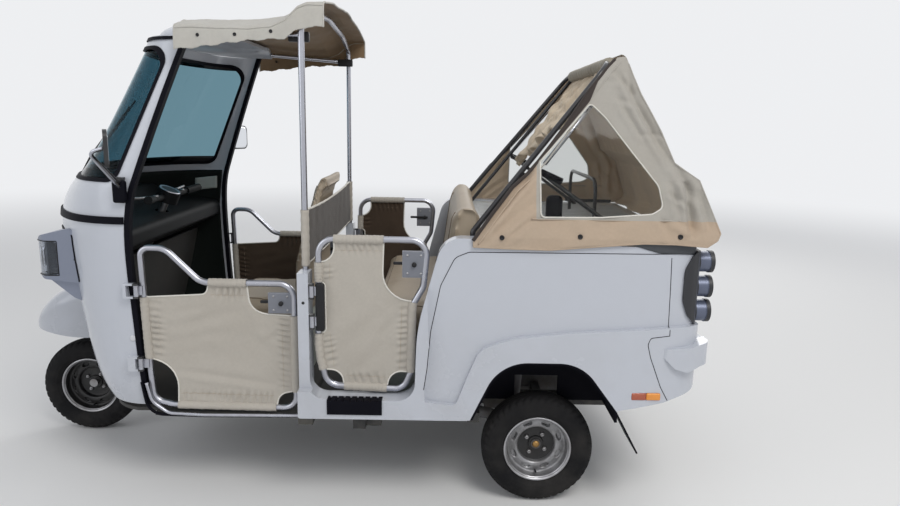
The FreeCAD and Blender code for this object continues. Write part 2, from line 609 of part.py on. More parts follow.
def make_headlamps(outer):
    """Boxy lamps let into the shoulders of the nose, each with a fin below."""
    x0, x1 = FRONT - 250, FRONT - 62
    outline = [(x0, 1066, 20), (FRONT - 205, 1082, 30), (x1, 1046, 40), (x1 - 4, 876, 30), (x0, 856, 10)]
    fin = [(x0, 862, 0), (x1 - 30, 880, 0), (FRONT - 200, 790, 20), (x0, 770, 0)]
    shape = join([side_prism(outline, HEADLAMP_Y - HEADLAMP_HALF, HEADLAMP_Y + HEADLAMP_HALF),
                  side_prism(fin, HEADLAMP_Y - HEADLAMP_HALF + 30, HEADLAMP_Y + HEADLAMP_HALF - 24)])
    plan = plan_prism([(x0, HEADLAMP_Y - HEADLAMP_HALF, 0), (x1, HEADLAMP_Y - HEADLAMP_HALF, 40),
                       (x1, HEADLAMP_Y + HEADLAMP_HALF - 34, 30), (x1 - 40, HEADLAMP_Y + HEADLAMP_HALF, 30),
                       (x0, HEADLAMP_Y + HEADLAMP_HALF, 0)], 700, 1200)
    body = shape.common(plan).cut(outer)
    outer_y, inner_y = HEADLAMP_Y + HEADLAMP_HALF, HEADLAMP_Y - LENS_HALF

    def corner(shrink, depth):
        """The corner of the housing that the wrap-round lens takes, down to depth below its faces."""
        z0, z1 = HEADLAMP_Z - LENS_HALF - 9 + shrink, HEADLAMP_Z + LENS_HALF - 9 - shrink
        seen = side_prism([(x1 - LENS_WRAP + shrink, z0, 18), (x1 + 40, z0, 0), (x1 + 40, z1, 0),
                           (x1 - LENS_WRAP + shrink, z1, 18)], 0, 900)
        seen = seen.common(front_prism([(inner_y + shrink, z0, 16), (outer_y + 60, z0, 0), (outer_y + 60, z1, 0),
                                        (inner_y + shrink, z1, 16)], x0, x1 + 60))
        core = plan_prism([(x0, 0, 0), (x1 - depth, 0, 0), (x1 - depth, outer_y - 34 - depth / 2, 20),
                           (x1 - 40 - depth / 2, outer_y - depth, 20), (x0, outer_y - depth, 0)],
                          700, 1200)
        return seen.cut(core)
    lens = body.common(corner(SOFT_GAP, LENS_DEPTH))
    body = body.cut(corner(0, LENS_DEPTH + SOFT_GAP))
    pieces["headlamps"] = both_sides(body)
    return lens


def make_lenses(tail, head):
    marker = side_prism([(-453, 487, 14), (-341, 487, 14), (-341, 517, 14), (-453, 517, 14)],
                        TUB_OUTER_Y + FLARE - 6, TUB_OUTER_Y + FLARE + 3)
    left = [head, marker] + tail
    pieces["lamp_lenses"] = Part.makeCompound(left + [mirrored(s) for s in left])
    return marker


MIRROR_X, MIRROR_Y, MIRROR_TURN = FRONT - 528, 786, -26
MIRROR_WIDTH, MIRROR_HEIGHT = 126, 132


def make_mirrors(outer):
    """A clamp on each windscreen pillar, a cranked arm and a plate turned a little towards the driver."""
    x, z = FRONT - 490, 1262
    foot = block(x - 6, x + 26, 584, 612, z - 40, z + 40)
    arm = tube([(x, 600, z + 20, 0), (x, 640, z + 30, 20), (FRONT - 466, MIRROR_Y, 1404, 30),
                (MIRROR_X, MIRROR_Y, 1420, 0)], 6)
    half, high = MIRROR_WIDTH / 2, MIRROR_HEIGHT / 2
    head = front_prism([(-half, -high, 28), (half, -high, 28), (half, high, 28), (-half, high, 28)], -7, 7)
    head.rotate(V(0, 0, 0), V(0, 0, 1), -MIRROR_TURN)
    head.translate(V(MIRROR_X, MIRROR_Y, 1420))
    pieces["mirrors"] = both_sides(join([foot, arm, head]).cut(outer).cut(screen_form(0)))


def make_posts():
    base = PILLAR_TOP_Z - SOCKET_DEPTH
    post = tube([(PILLAR_X, POST_Y, base, 0), (PILLAR_X, POST_Y, 1898, 30), (PILLAR_X, 395, 1948, 200),
                 (PILLAR_X, 0, 1974, 600), (PILLAR_X, -395, 1948, 200), (PILLAR_X, -POST_Y, 1898, 30),
                 (PILLAR_X, -POST_Y, base, 0)], POST_RADIUS)
    rail = tube([(PILLAR_X, POST_Y, ROOF_RAIL_Z, 0), (FRONT + HEADER_BACK, 500, 1856, 0)], POST_RADIUS - 2)
    end = block(FRONT + HEADER_BACK, FRONT, -700, 700, 1800, 1900)
    pieces["roof_frame"] = join([post, rail, mirrored(rail)]).cut(end)


# x, valance bottom z, edge half width, edge z, shoulder half width, shoulder z, crown z
ROOF_ROWS = [
    (1396, 1778, 590, 1874, 450, 1900.3, 1901.3),
    (1150, 1806, 615, 1880, 430, 1914, 1932),
    (940, 1830, POST_Y + POST_RADIUS + SOFT_GAP + 10, 1925, 400, 1974, 2000),
    (838, 1840, POST_Y + POST_RADIUS + SOFT_GAP + 10, 1928, 400, 1972, 1997),
]


def make_roof():
    def section(x, low, half, edge, shoulder, shoulder_z, crown, inset, drop):
        y, z = half - inset, edge - inset
        a, b, c = V(x, -y, low - drop), V(x, -y, z), V(x, -shoulder, shoulder_z - inset)
        d, e, f = V(x, shoulder, shoulder_z - inset), V(x, y, z), V(x, y, low - drop)
        top = Part.Arc(c, V(x, 0, crown - inset), d).toShape()
        return Part.Wire([Part.makeLine(a, b), Part.makeLine(b, c), top, Part.makeLine(d, e),
                          Part.makeLine(e, f), Part.makeLine(f, a)])
    outer = Part.makeLoft([section(*row, 0, 0) for row in ROOF_ROWS], True, True)
    inner = Part.makeLoft([section(*row, 10, 30) for row in ROOF_ROWS], True, True)
    pieces["roof_canvas"] = outer.cut(inner)


def make_partition():
    half = POST_Y - POST_RADIUS - SOFT_GAP
    pieces["partition_canvas"] = block(PILLAR_X - 3, PILLAR_X + 3, -half, half, 975, 1190)


def make_hood(rail):
    """Side, top and rear panels of the half-folded hood, open in front and below, with side windows."""
    base_front, base_rear = 285, HOOD_REACH
    apex_front, apex_rear = -215, -290
    knee_z, knee_front, knee_rear, knee_half = 1400, 77, -475, 628
    low, half = 1082, TUB_OUTER_Y + SOFT_GAP + SKIN

    def form(inset, ahead, drop):
        levels = []
        for z, front, rear, y in ((low - drop, base_front, base_rear, half), (low + 32, base_front, base_rear, half),
                                  (knee_z, knee_front, knee_rear, knee_half),
                                  (HOOD_TOP_Z - inset, apex_front, apex_rear, HOOD_HALF_TOP)):
            x0, x1, y = rear + inset, front + ahead, y - inset
            rows = [V(x0, -y, z), V(x1, -y, z), V(x1, y, z), V(x0, y, z)]
            levels.append(Part.makePolygon(rows + rows[:1]))
        return Part.makeLoft(levels, True, True)

    def window(shrink):
        rows = [(-150, 1622, 30), (38, 1392, 25), (32, 1192, 25), (-418, 1200, 45), (-405, 1330, 120)]
        middle_x, middle_z = -150, 1350
        scale = 1 - shrink / 200
        return side_prism([(middle_x + (x - middle_x) * scale, middle_z + (z - middle_z) * scale, r)
                           for x, z, r in rows], -900, 900)
    shell = form(0, 0, 0).cut(form(SKIN, 300, 0.5))
    pieces["hood_canvas"] = shell.cut(window(0))
    panes = form(3, 0, 0).cut(form(5, 300, 0.5)).common(window(0.5))
    pieces["hood_windows"] = Part.makeCompound(panes.Solids)
    half_bow, low_x = TUB_INNER_Y - 16 - BOW_RADIUS, 284
    front_bow = tube([(low_x, half_bow, 1070, 0), (low_x, half_bow, 1120, 20),
                      (-240, HOOD_HALF_TOP - 30, 1774, 90), (-240, -HOOD_HALF_TOP + 30, 1774, 90),
                      (low_x, -half_bow, 1120, 20), (low_x, -half_bow, 1070, 0)], BOW_RADIUS)
    second = tube([(250, half_bow - 30, DECK_Z, 0), (-266, HOOD_HALF_TOP - 60, 1774, 90),
                   (-266, -HOOD_HALF_TOP + 60, 1774, 90), (250, -half_bow + 30, DECK_Z, 0)], BOW_RADIUS - 2)
    second = second.common(block(-600, 600, -700, 700, DECK_Z, 1900))
    stay_y = half_bow - 30
    stay = tube([(36, stay_y - 22, 1356, 0), (-330, stay_y - 22, DECK_Z, 0)], 9)
    stay = stay.common(block(-600, 600, -700, 700, DECK_Z, 1900))
    pieces["hood_frame"] = Part.makeCompound([front_bow, second, stay, mirrored(stay), rail])


def rim_profile():
    flange, half = RIM_FLANGE_RADIUS, RIM_WIDTH / 2
    bead = flange - BEAD_DEPTH
    return [(flange, half), (flange, half - 5), (bead, half - 8), (bead, -half + 8), (flange, -half + 5),
            (flange, -half), (bead - 5, -half), (bead - 6, half)]


def make_wheel(centre, side):
    """Tyre and rim; side is 1 where the dish faces the vehicle's left and -1 where it faces right."""
    half = TYRE_WIDTH / 2
    flange, bead = RIM_FLANGE_RADIUS, RIM_FLANGE_RADIUS - BEAD_DEPTH
    rim_half = RIM_WIDTH / 2
    crown = TYRE_RADIUS
    tyre = turned([(bead, rim_half - 8), (flange, rim_half - 5 - 0.2), (flange + 6, rim_half + 2),
                   (flange + 34, half),
                   (crown - 38, half), (crown - 14, half - 6), (crown - 3, half - 20), (crown, 0),
                   (crown - 3, -half + 20), (crown - 14, -half + 6), (crown - 38, -half), (flange + 34, -half),
                   (flange + 6, -rim_half - 2), (flange, -rim_half + 5 + 0.2), (bead, -rim_half + 8)], centre)
    barrel = turned(rim_profile(), centre)
    dish = turned([(bead - 4, side * 22), (100, side * 26), (70, side * 34), (HUB_RADIUS, side * 34),
                   (0, side * 34), (0, side * 26), (HUB_RADIUS, side * 26), (66, side * 26),
                   (98, side * 18), (bead - 4, side * 14)], centre)
    hub = turned([(HUB_RADIUS - 8, side * 30), (HUB_RADIUS - 12, side * 50), (0, side * 52), (0, side * 20),
                  (HUB_RADIUS - 8, side * 20)], centre)
    drum = turned([(DRUM_RADIUS, side * 16), (DRUM_RADIUS, -side * 34), (AXLE_RADIUS, -side * 34),
                   (AXLE_RADIUS, side * 20), (60, side * 27)], centre)
    holes = []
    for i in range(RIM_HOLES):
        angle = 2 * math.pi * (i + 0.5) / RIM_HOLES
        at = centre + V(96 * math.cos(angle), 0, 96 * math.sin(angle))
        holes.append(rod(at - V(0, 60, 0), at + V(0, 60, 0), 15))
    rim = join([barrel, dish.cut(Part.makeCompound(holes)), hub, drum])
    return tyre, rim


def make_rear_gear():
    """Engine block, drive shafts, trailing arms and dampers."""
    z = TYRE_RADIUS
    engine = join([block(-170, 190, -200, 150, 190, 470), rod(V(0, -205, z), V(0, 155, z), 80),
                   block(-60, -20, -268, 268, 296, 330), block(120, 160, -268, 268, 296, 330)])
    pieces["engine"] = engine
    y_hub = TRACK / 2 - 38
    shaft = rod(V(0, 155, z), V(0, y_hub - 10, z), HALF_SHAFT_RADIUS)
    arm = tube([(ARM_PIVOT_X, 400, 330, 0), (120, 470, 290, 120), (0, y_hub - 40, z, 0)], 24)
    pivot = rod(V(ARM_PIVOT_X, 312, 330), V(ARM_PIVOT_X, 440, 330), 26)
    carrier = rod(V(0, y_hub - 62, z), V(0, y_hub - 2, z), 42)
    stub = rod(V(0, y_hub - 10, z), V(0, y_hub + 34, z), AXLE_RADIUS - RUNNING_GAP)
    damper = join([rod(V(90, 460, 290), V(64, 430, 570), 22), rod(V(62, 312, 570), V(62, 452, 570), 14)])
    left = join([arm, pivot, carrier, stub, damper, shaft])
    pieces["rear_suspension"] = Part.makeCompound([left, mirrored(left).cut(engine)])


def make_front_gear():
    """Stem, crown, single-sided leg and axle of the front wheel."""
    stem = rod(steering_axis(345), steering_axis(BAR_AT), STEM_RADIUS)
    leg_y = -TYRE_WIDTH / 2 - MOVING_GAP - FORK_LEG_RADIUS
    at = steering_axis(352)
    crown = block(at.x - 26, at.x + 34, leg_y - FORK_LEG_RADIUS, 34, at.z - 22, at.z + 22)
    reach = GUARD_ROWS[0][3] + 20
    bracket = block(at.x + 4, at.x + 30, -reach, reach, at.z - 8, at.z + 6)
    bracket = bracket.common(guard_form(GUARD_WALL / 2, 0))
    leg = tube([(at.x, leg_y, at.z, 0), (FRONT + 60, leg_y, TYRE_RADIUS + 110, 50),
                (FRONT + 96, leg_y, TYRE_RADIUS + 10, 0)], FORK_LEG_RADIUS)
    link = tube([(FRONT + 92, leg_y, TYRE_RADIUS + 16, 0), (FRONT, leg_y, TYRE_RADIUS, 0)], FORK_LEG_RADIUS - 1)
    axle = rod(V(FRONT, leg_y - 24, TYRE_RADIUS), V(FRONT, 10, TYRE_RADIUS), AXLE_RADIUS - RUNNING_GAP)
    pieces["front_fork"] = join([stem, crown, bracket, leg, link, axle])
    pieces["front_mudguard"] = guard_form(0, 0).cut(guard_form(GUARD_WALL, 20)).cut(bracket)


GUARD_WALL = 7
# x ahead of the front axle, bottom z, top z, half width
GUARD_ROWS = [
    (-150, 505, 690, 112),
    (-40, 500, 752, 124),
    (60, 508, 722, 124),
    (140, 520, 672, 108),
    (200, 528, 605, 72),
    (NOSE_REACH, 532, 548, 26),
]


def guard_form(inset, drop):
    levels = []
    for x, low, high, half in GUARD_ROWS:
        b, h = half - inset, high - inset
        z0 = low - drop
        r = min(b, h - z0) * 0.6
        left, right = V(FRONT + x, b, z0), V(FRONT + x, -b, z0)
        rise = V(0, 0, h - z0)
        levels.append(rounded_wire([(right, 0), (right + rise, r), (left + rise, r), (left, 0)]))
    return Part.makeLoft(levels, True, False)


def make_handlebar():
    at = steering_axis(BAR_AT - 12)
    up = unit(steering_axis(10) - steering_axis(0))
    bar = tube([(at.x - 40, 305, at.z + 16, 0), (at.x - 10, 190, at.z + 6, 60), (at.x, 60, at.z, 60),
                (at.x, -60, at.z, 60), (at.x - 10, -190, at.z + 6, 60), (at.x - 40, -305, at.z + 16, 0)], 14)
    grips = [rod(V(at.x - 14, s * 200, at.z + 7), V(at.x - 40, s * 305, at.z + 16), 18) for s in (1, -1)]
    pod = join([rod(at - up * 22, at + up * 34, 52)])
    bore = rod(at - up * 60, at + up * 12.05, STEM_RADIUS)
    pieces["handlebar"] = join([bar, pod] + grips).cut(bore)


# x, z, bend radius of the door loops' centre lines
FRONT_LOOP = [
    (FRONT - 536, 1028, 34),
    (FRONT - 632, 1028, 80),
    (FRONT - 768, 893, 80),
    (986, 894, 60),
    (986, 372, 50),
    (FRONT - 634, 380, 60),
    (FRONT - 557, 398, 50),
    (FRONT - 549, 520, 60),
]
REAR_LOOP = [
    (874, 1088, 60),
    (455, 1088, 60),
    (472, 905, 60),
    (514, 830, 60),
    (518, 560, 60),
    (548, 488, 50),
    (846, 500, 60),
    (880, 640, 60),
]


def loop_front(loop, z):
    """Where the front bar of a door loop's centre line stands at height z."""
    (x0, z0, r0), (x1, z1, r1) = loop[-1], loop[0]
    return x0 + (x1 - x0) * (z - z0) / (z1 - z0)


def half_door(loop, y, hinge, hinge_rows, latch, windows):
    """Left half-door: tube loop with hinge knuckles and latch plate, and the canvas stretched in it."""
    frame = [tube([(x, y, z, r) for x, z, r in loop], DOOR_TUBE, closed=True)]
    bores = []
    hx, hy = hinge
    for z in hinge_rows:
        bar_x = loop_front(loop, z)
        frame.append(rod(V(hx, hy, z - KNUCKLE_HALF), V(hx, hy, z + KNUCKLE_HALF), KNUCKLE_RADIUS))
        frame.append(block(bar_x - 4, hx, hy - 9.5, hy - 4, z - 18, z + 18))
        frame.append(block(bar_x - 4, bar_x + 9, y, hy - 4, z - 18, z + 18))
        bores.append(rod(V(hx, hy, z - 40), V(hx, hy, z + 40), HINGE_PIN + RUNNING_GAP))
    canvas_loop = [(V(x, 0, z), r) for x, z, r in loop]
    sheet = Part.Face(rounded_wire(canvas_loop))
    slab = sheet.extrude(V(0, CANVAS, 0))
    slab.translate(V(0, y - CANVAS / 2, 0))
    tube_space = tube([(x, y, z, r) for x, z, r in loop], DOOR_TUBE + SOFT_GAP, closed=True)
    slab = slab.cut(tube_space)
    for window in windows:
        slab = slab.cut(side_prism(window, y - 40, y + 40))
    x0, x1, z0, z1 = latch
    frame.append(block(x0, x1, y - 8, y + 8, z0, z1))
    slab = slab.cut(block(x0 - SOFT_GAP, x1 + SOFT_GAP, y - 20, y + 20, z0 - SOFT_GAP, z1 + SOFT_GAP))
    return join(frame).cut(Part.makeCompound(bores)), slab


def make_doors():
    front_windows = [
        [(FRONT - 560, 1060, 0), (FRONT - 700, 1060, 0), (FRONT - 800, 905, 0), (FRONT - 740, 880, 20),
         (FRONT - 560, 868, 20)],
        [(1290, 920, 0), (1290, 800, 50), (1020, 730, 60), (940, 760, 0), (940, 920, 0)],
        [(FRONT - 500, 560, 0), (FRONT - 610, 520, 60), (FRONT - 680, 340, 0), (FRONT - 500, 340, 0)],
        [(1090, 340, 0), (1050, 430, 40), (940, 450, 0), (940, 340, 0)],
    ]
    rear_windows = [
        [(930, 1120, 0), (790, 1120, 0), (810, 1030, 40), (930, 1000, 0)],
        [(560, 1120, 0), (580, 880, 80), (480, 760, 0), (400, 1120, 0)],
        [(930, 580, 0), (850, 560, 40), (810, 440, 0), (930, 440, 0)],
        [(470, 600, 0), (560, 580, 40), (610, 440, 0), (470, 440, 0)],
        [(930, 918, 0), (851, 918, 18), (851, 717, 18), (930, 717, 0)],
    ]
    front = half_door(FRONT_LOOP, FRONT_DOOR_Y, FRONT_HINGE, FRONT_HINGES, (990, 1087, 774, 856), front_windows)
    rear = half_door(REAR_LOOP, REAR_DOOR_Y, REAR_HINGE, REAR_HINGES, (462, 553, 943, 1046), rear_windows)
    for name, (frame, canvas) in (("front_door", front), ("rear_door", rear)):
        pieces[name + "_frame_left"] = frame
        pieces[name + "_canvas_left"] = canvas
        pieces[name + "_frame_right"] = mirrored(frame)
        pieces[name + "_canvas_right"] = mirrored(canvas)


def place_origin():
    for shape in pieces.values():
        shape.translate(V(-MID_LENGTH, 0, 0))


def build():
    outer, hollow, trims = make_nose()
    make_header()
    make_cab_seals(trims)
    pieces["floor_pan"] = make_floor(hollow)
    make_chassis()
    make_seat_box()
    side = make_tub_side()
    step = make_steps()
    tail = make_tail()
    make_rear_panel()
    make_wheel_arches()
    rail = make_deck()
    make_seats()
    make_dash(hollow)
    head = make_headlamps(outer)
    marker = make_lenses(tail, head)
    side = side.cut(marker).cut(block(*STEP_X, TUB_OUTER_Y + FLARE - 40, 900, STEP_Z[0], 480))
    pieces["steps"] = both_sides(step)
    pieces["tub_side_left"] = side
    pieces["tub_side_right"] = mirrored(side)
    make_mirrors(outer)
    make_posts()
    make_roof()
    make_partition()
    make_hood(rail)
    make_rear_gear()
    make_front_gear()
    make_handlebar()
    pieces["front_tyre"], pieces["front_rim"] = make_wheel(V(FRONT, 0, TYRE_RADIUS), 1)
    tyre, rim = make_wheel(V(0, TRACK / 2, TYRE_RADIUS), 1)
    pieces["rear_tyre_left"], pieces["rear_rim_left"] = tyre, rim
    pieces["rear_tyre_right"], pieces["rear_rim_right"] = mirrored(tyre), mirrored(rim)
    make_doors()
    place_origin()


build()
os.makedirs("parts", exist_ok=True)
for name, shape in pieces.items():
    shape.exportStep("parts/" + name + ".step")
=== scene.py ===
import math
from itertools import product

import bmesh
import bpy
import numpy as np
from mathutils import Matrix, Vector
from mathutils.bvhtree import BVHTree


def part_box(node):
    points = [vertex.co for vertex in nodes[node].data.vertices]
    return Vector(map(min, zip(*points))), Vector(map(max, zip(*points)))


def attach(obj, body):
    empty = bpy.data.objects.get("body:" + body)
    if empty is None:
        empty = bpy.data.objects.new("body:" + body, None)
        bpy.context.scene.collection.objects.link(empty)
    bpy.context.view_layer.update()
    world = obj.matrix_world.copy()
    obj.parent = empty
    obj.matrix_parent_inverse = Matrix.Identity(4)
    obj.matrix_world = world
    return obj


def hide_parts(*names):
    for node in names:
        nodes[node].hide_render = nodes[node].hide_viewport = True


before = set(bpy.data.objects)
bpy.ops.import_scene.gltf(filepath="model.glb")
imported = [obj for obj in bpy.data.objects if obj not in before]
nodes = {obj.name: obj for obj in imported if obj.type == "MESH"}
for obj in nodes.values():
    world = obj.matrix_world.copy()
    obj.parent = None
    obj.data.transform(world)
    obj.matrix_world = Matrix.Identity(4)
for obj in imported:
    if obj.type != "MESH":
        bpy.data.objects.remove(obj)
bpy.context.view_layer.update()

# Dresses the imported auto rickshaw: paint, canvas, clear windows, tyres, lamps and trim.
# X runs forward, Y to the vehicle's left and Z up, in metres, as in the frame.

rearAxle = -0.8445
wheelbase = 2120
wheelRadius = 0.228
rearWheelY = 0.597


# Shapes
def axleX(x):
    # millimetres ahead of the rear axle to metres in the frame
    return x / 1000 + rearAxle


def gridFaces(nu, nv, wrapU, wrapV, start):
    # quads between neighbouring rows and columns of an nu by nv grid of points
    u = np.arange(nu if wrapU else nu - 1)
    v = np.arange(nv if wrapV else nv - 1)
    a, b = (m.ravel() for m in np.meshgrid(u, v, indexing="ij"))
    a2, b2 = (a + 1) % nu, (b + 1) % nv
    return start + np.stack([a * nv + b, a2 * nv + b, a2 * nv + b2, a * nv + b2], axis=1)


def meshFromGrids(name, grids, merge=0.00001, recalc=False):
    # each grid is its points, as rows and columns, and whether it closes along u and along v
    points, faces, start = [], [], 0
    for grid, wrapU, wrapV in grids:
        nu, nv, _ = grid.shape
        points.append(grid.reshape(-1, 3))
        faces.append(gridFaces(nu, nv, wrapU, wrapV, start))
        start += nu * nv
    mesh = bpy.data.meshes.new(name)
    mesh.from_pydata(np.concatenate(points).tolist(), [], np.concatenate(faces).tolist())
    mesh.update()
    piece = bpy.data.objects.new(name, mesh)
    bpy.context.scene.collection.objects.link(piece)
    tidyMesh(piece, merge, recalc)
    return piece


def together(x, y, z):
    # points from their three coordinates, each an array or one number for all
    return np.stack(np.broadcast_arrays(x, y, z), axis=-1)


def gridOf(x, y, z, wrapU=False, wrapV=False):
    # one grid of points and the directions in which it closes on itself
    return together(x, y, z), wrapU, wrapV


def fullTurn(count):
    return np.linspace(0, 2 * np.pi, count, endpoint=False)


def tidyMesh(piece, merge, recalc):
    work = bmesh.new()
    work.from_mesh(piece.data)
    if merge:
        bmesh.ops.remove_doubles(work, verts=work.verts, dist=merge)
    bmesh.ops.dissolve_degenerate(work, edges=work.edges, dist=0.000001)
    if recalc:
        bmesh.ops.recalc_face_normals(work, faces=work.faces)
    work.to_mesh(piece.data)
    work.free()
    piece.data.shade_smooth()


def dress(piece, material, slotName, body="body", thick=0, subdivide=0, sharp=None):
    piece.data.materials.clear()
    piece.data.materials.append(material)
    if subdivide:
        sub = piece.modifiers.new("Subdivision", "SUBSURF")
        sub.levels = sub.render_levels = subdivide
    if thick:
        wall = piece.modifiers.new("Solidify", "SOLIDIFY")
        wall.thickness, wall.offset = thick, 0
    if sharp is not None:
        piece.data.set_sharp_from_angle(angle=math.radians(sharp))
    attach(piece, body)
    return piece


def lineWith(piece, material):
    # another material on the inner face of a thickened sheet
    piece.data.materials.append(material)
    piece.modifiers["Solidify"].material_offset = 1


def made(name, grids, material, slotName, body="body", recalc=True, merge=0.00001, **finishing):
    # a dressed piece straight from its grids
    return dress(meshFromGrids(name, grids, merge, recalc), material, slotName, body, **finishing)


def roundedPath(corners, closed=False, steps=7):
    # straight runs with an arc of the given radius at each corner; corners are (x, y, z, radius)
    rows = [(np.array(c[:3], float), c[3]) for c in corners]
    count, out = len(rows), []
    for i, (p, r) in enumerate(rows):
        if r <= 0 or (not closed and i in (0, count - 1)):
            out.append(p[None])
            continue
        back = rows[i - 1][0] - p
        ahead = rows[(i + 1) % count][0] - p
        back, ahead = back / np.linalg.norm(back), ahead / np.linalg.norm(ahead)
        half = math.acos(np.clip(back @ ahead, -1, 1)) / 2
        middle = (back + ahead) / np.linalg.norm(back + ahead)
        centre = p + middle * r / math.sin(half)
        a, b = p + back * r / math.tan(half) - centre, p + ahead * r / math.tan(half) - centre
        turn = math.pi - 2 * half
        t = np.linspace(0, 1, steps)[:, None]
        out.append(centre + (np.sin((1 - t) * turn) * a + np.sin(t * turn) * b) / math.sin(turn))
    path = np.concatenate(out)
    return np.concatenate([path, path[:1]]) if closed else path


def respace(path, spacing=None, count=None):
    # the same path with evenly spaced points
    step = np.linalg.norm(np.diff(path, axis=0), axis=1)
    run = np.concatenate([[0], np.cumsum(step)])
    n = count or max(3, int(run[-1] / spacing) + 1)
    at = np.linspace(0, run[-1], n)
    return np.stack([np.interp(at, run, path[:, k]) for k in range(path.shape[1])], axis=1)


def respacedLoop(points, **every):
    # the same for a closed outline, which doesn't repeat its first point at its end
    return respace(np.concatenate([points, points[:1]]), **every)[:-1]


def tubeGrid(path, radius, sides=14, closed=False, up=(0, 1, 0), capped=True, squeeze=1.0):
    # a circle carried along the path: centre + radius * (cos t * side + sin t * top)
    path = np.asarray(path, float)
    radius = np.broadcast_to(np.asarray(radius, float), (len(path),)).copy()
    if closed:
        tangent = np.roll(path, -1, 0) - np.roll(path, 1, 0)
    else:
        tangent = np.gradient(path, axis=0)
    tangent /= np.linalg.norm(tangent, axis=1)[:, None]
    side = np.cross(tangent, np.asarray(up, float))
    side /= np.linalg.norm(side, axis=1)[:, None]
    top = np.cross(side, tangent)
    if capped and not closed:
        path = np.concatenate([path[:1], path, path[-1:]])
        side, top = (np.concatenate([m[:1], m, m[-1:]]) for m in (side, top))
        radius = np.concatenate([[0.0], radius, [0.0]])
    t = fullTurn(sides)[None, :, None]
    ring = np.cos(t) * side[:, None] * squeeze + np.sin(t) * top[:, None]
    return path[:, None] + radius[:, None, None] * ring, closed, True


def turnedGrid(profile, centre, axis="y", sides=48, sign=1.0):
    # a profile of (radius, distance along the axle) turned about the axle through centre
    r, d = np.asarray(profile, float).T
    t = fullTurn(sides)[:, None]
    c, s, along = np.cos(t) * r, np.sin(t) * r, d * sign + 0 * t
    layout = {"y": (c, along, s), "x": (along, c, s), "z": (c, s, along)}[axis]
    return together(*layout) + np.asarray(centre, float), True, False


def roundedBoxGrids(low, high, r, steps=4):
    # a closed box with rounded edges: a cube's surface pushed onto a sphere of radius r at each corner
    low, high = np.asarray(low, float), np.asarray(high, float)
    r = min(r, *(0.499 * (high - low)))
    inner = (high - low) / 2 - r
    middle = (high + low) / 2
    a = np.linspace(-np.pi / 4, np.pi / 4, steps + 1)
    side = np.concatenate([np.tan(a[: (steps + 2) // 2]), np.tan(a[(steps + 1) // 2:])])
    u, v = np.meshgrid(side, side, indexing="ij")
    ku, kv = np.meshgrid(np.arange(len(side)), np.arange(len(side)), indexing="ij")
    signU = np.where(ku < (steps + 2) // 2, -1, 1)
    signV = np.where(kv < (steps + 2) // 2, -1, 1)
    grids = []
    for k in range(3):
        for s in (-1, 1):
            d = np.zeros(u.shape + (3,))
            offset = np.zeros(u.shape + (3,))
            i, j = (k + 1) % 3, (k + 2) % 3
            d[..., k], d[..., i], d[..., j] = s, u * s, v
            d /= np.linalg.norm(d, axis=2)[..., None]
            offset[..., k] = s * inner[k]
            offset[..., i], offset[..., j] = signU * s * inner[i], signV * inner[j]
            grids.append((middle + offset + d * r, False, False))
    return grids


def sideBox(x0, x1, y, halfY, low, high, r):
    # a rounded box between two places along the vehicle, in millimetres ahead of the rear axle
    return roundedBoxGrids((axleX(x0), y - halfY, low), (axleX(x1), y + halfY, high), r)


def bothSides(grids):
    # the grids and their mirror images across the middle of the vehicle
    return list(grids) + [(g[::-1] * (1, -1, 1), wrapU, wrapV) for g, wrapU, wrapV in grids]


def ripple(x, z, seed, scale=1.0):
    # a smooth random height made of a few crossing sine waves of falling size
    local = np.random.default_rng(seed)
    total = np.zeros(np.broadcast(x, z).shape)
    for k in range(6):
        angle, phase = local.uniform(0, np.pi), local.uniform(0, 2 * np.pi)
        wave = scale * (1.6 ** k)
        total += np.sin(wave * (x * np.cos(angle) + z * np.sin(angle)) * 2 * np.pi + phase) / (1.5 ** k)
    return total / 2.2


# Materials
def newMaterial(name, **values):
    material = bpy.data.materials.new(name)
    material.use_nodes = True
    shader = material.node_tree.nodes["Principled BSDF"]
    for key, value in values.items():
        socket = shader.inputs[key.replace("_", " ")]
        socket.default_value = (*value, 1) if isinstance(value, tuple) and len(value) == 3 else value
    return material, shader


def addNode(tree, kind, **values):
    node = tree.nodes.new(kind)
    for key, value in values.items():
        setattr(node, key, value)
    return node


def setInputs(node, **values):
    for key, value in values.items():
        node.inputs[key.replace("_", " ")].default_value = value
    return node


def startGroup(name, inputs, outputs):
    # a new group with the outputs of its input node and the inputs of its output node
    group = bpy.data.node_groups.new(name, "ShaderNodeTree")
    for label, kind, value in inputs:
        socket = group.interface.new_socket(label, in_out="INPUT", socket_type="NodeSocket" + kind)
        socket.default_value = value
    for label, kind in outputs:
        group.interface.new_socket(label, in_out="OUTPUT", socket_type="NodeSocket" + kind)
    return group, group.nodes.new("NodeGroupInput").outputs, group.nodes.new("NodeGroupOutput").inputs


def feed(tree, value, socket):
    # a link from another node's output, or a plain value
    if isinstance(value, bpy.types.NodeSocket):
        tree.links.new(value, socket)
    else:
        socket.default_value = value


def wire(tree, *pairs):
    for source, socket in pairs:
        tree.links.new(source, socket)


def objectPlace(tree):
    return tree.nodes.new("ShaderNodeTexCoord").outputs["Object"]


def texture(tree, kind, scale, options={}, **values):
    # the outputs of a texture laid on the object's own coordinates
    node = setInputs(addNode(tree, "ShaderNodeTex" + kind, **options), **values)
    tree.links.new(objectPlace(tree), node.inputs["Vector"])
    feed(tree, scale, node.inputs["Scale"])
    return node.outputs


def mathNode(tree, operation, *values, clamp=False):
    node = addNode(tree, "ShaderNodeMath", operation=operation, use_clamp=clamp)
    for value, socket in zip(values, node.inputs):
        feed(tree, value, socket)
    return node.outputs[0]


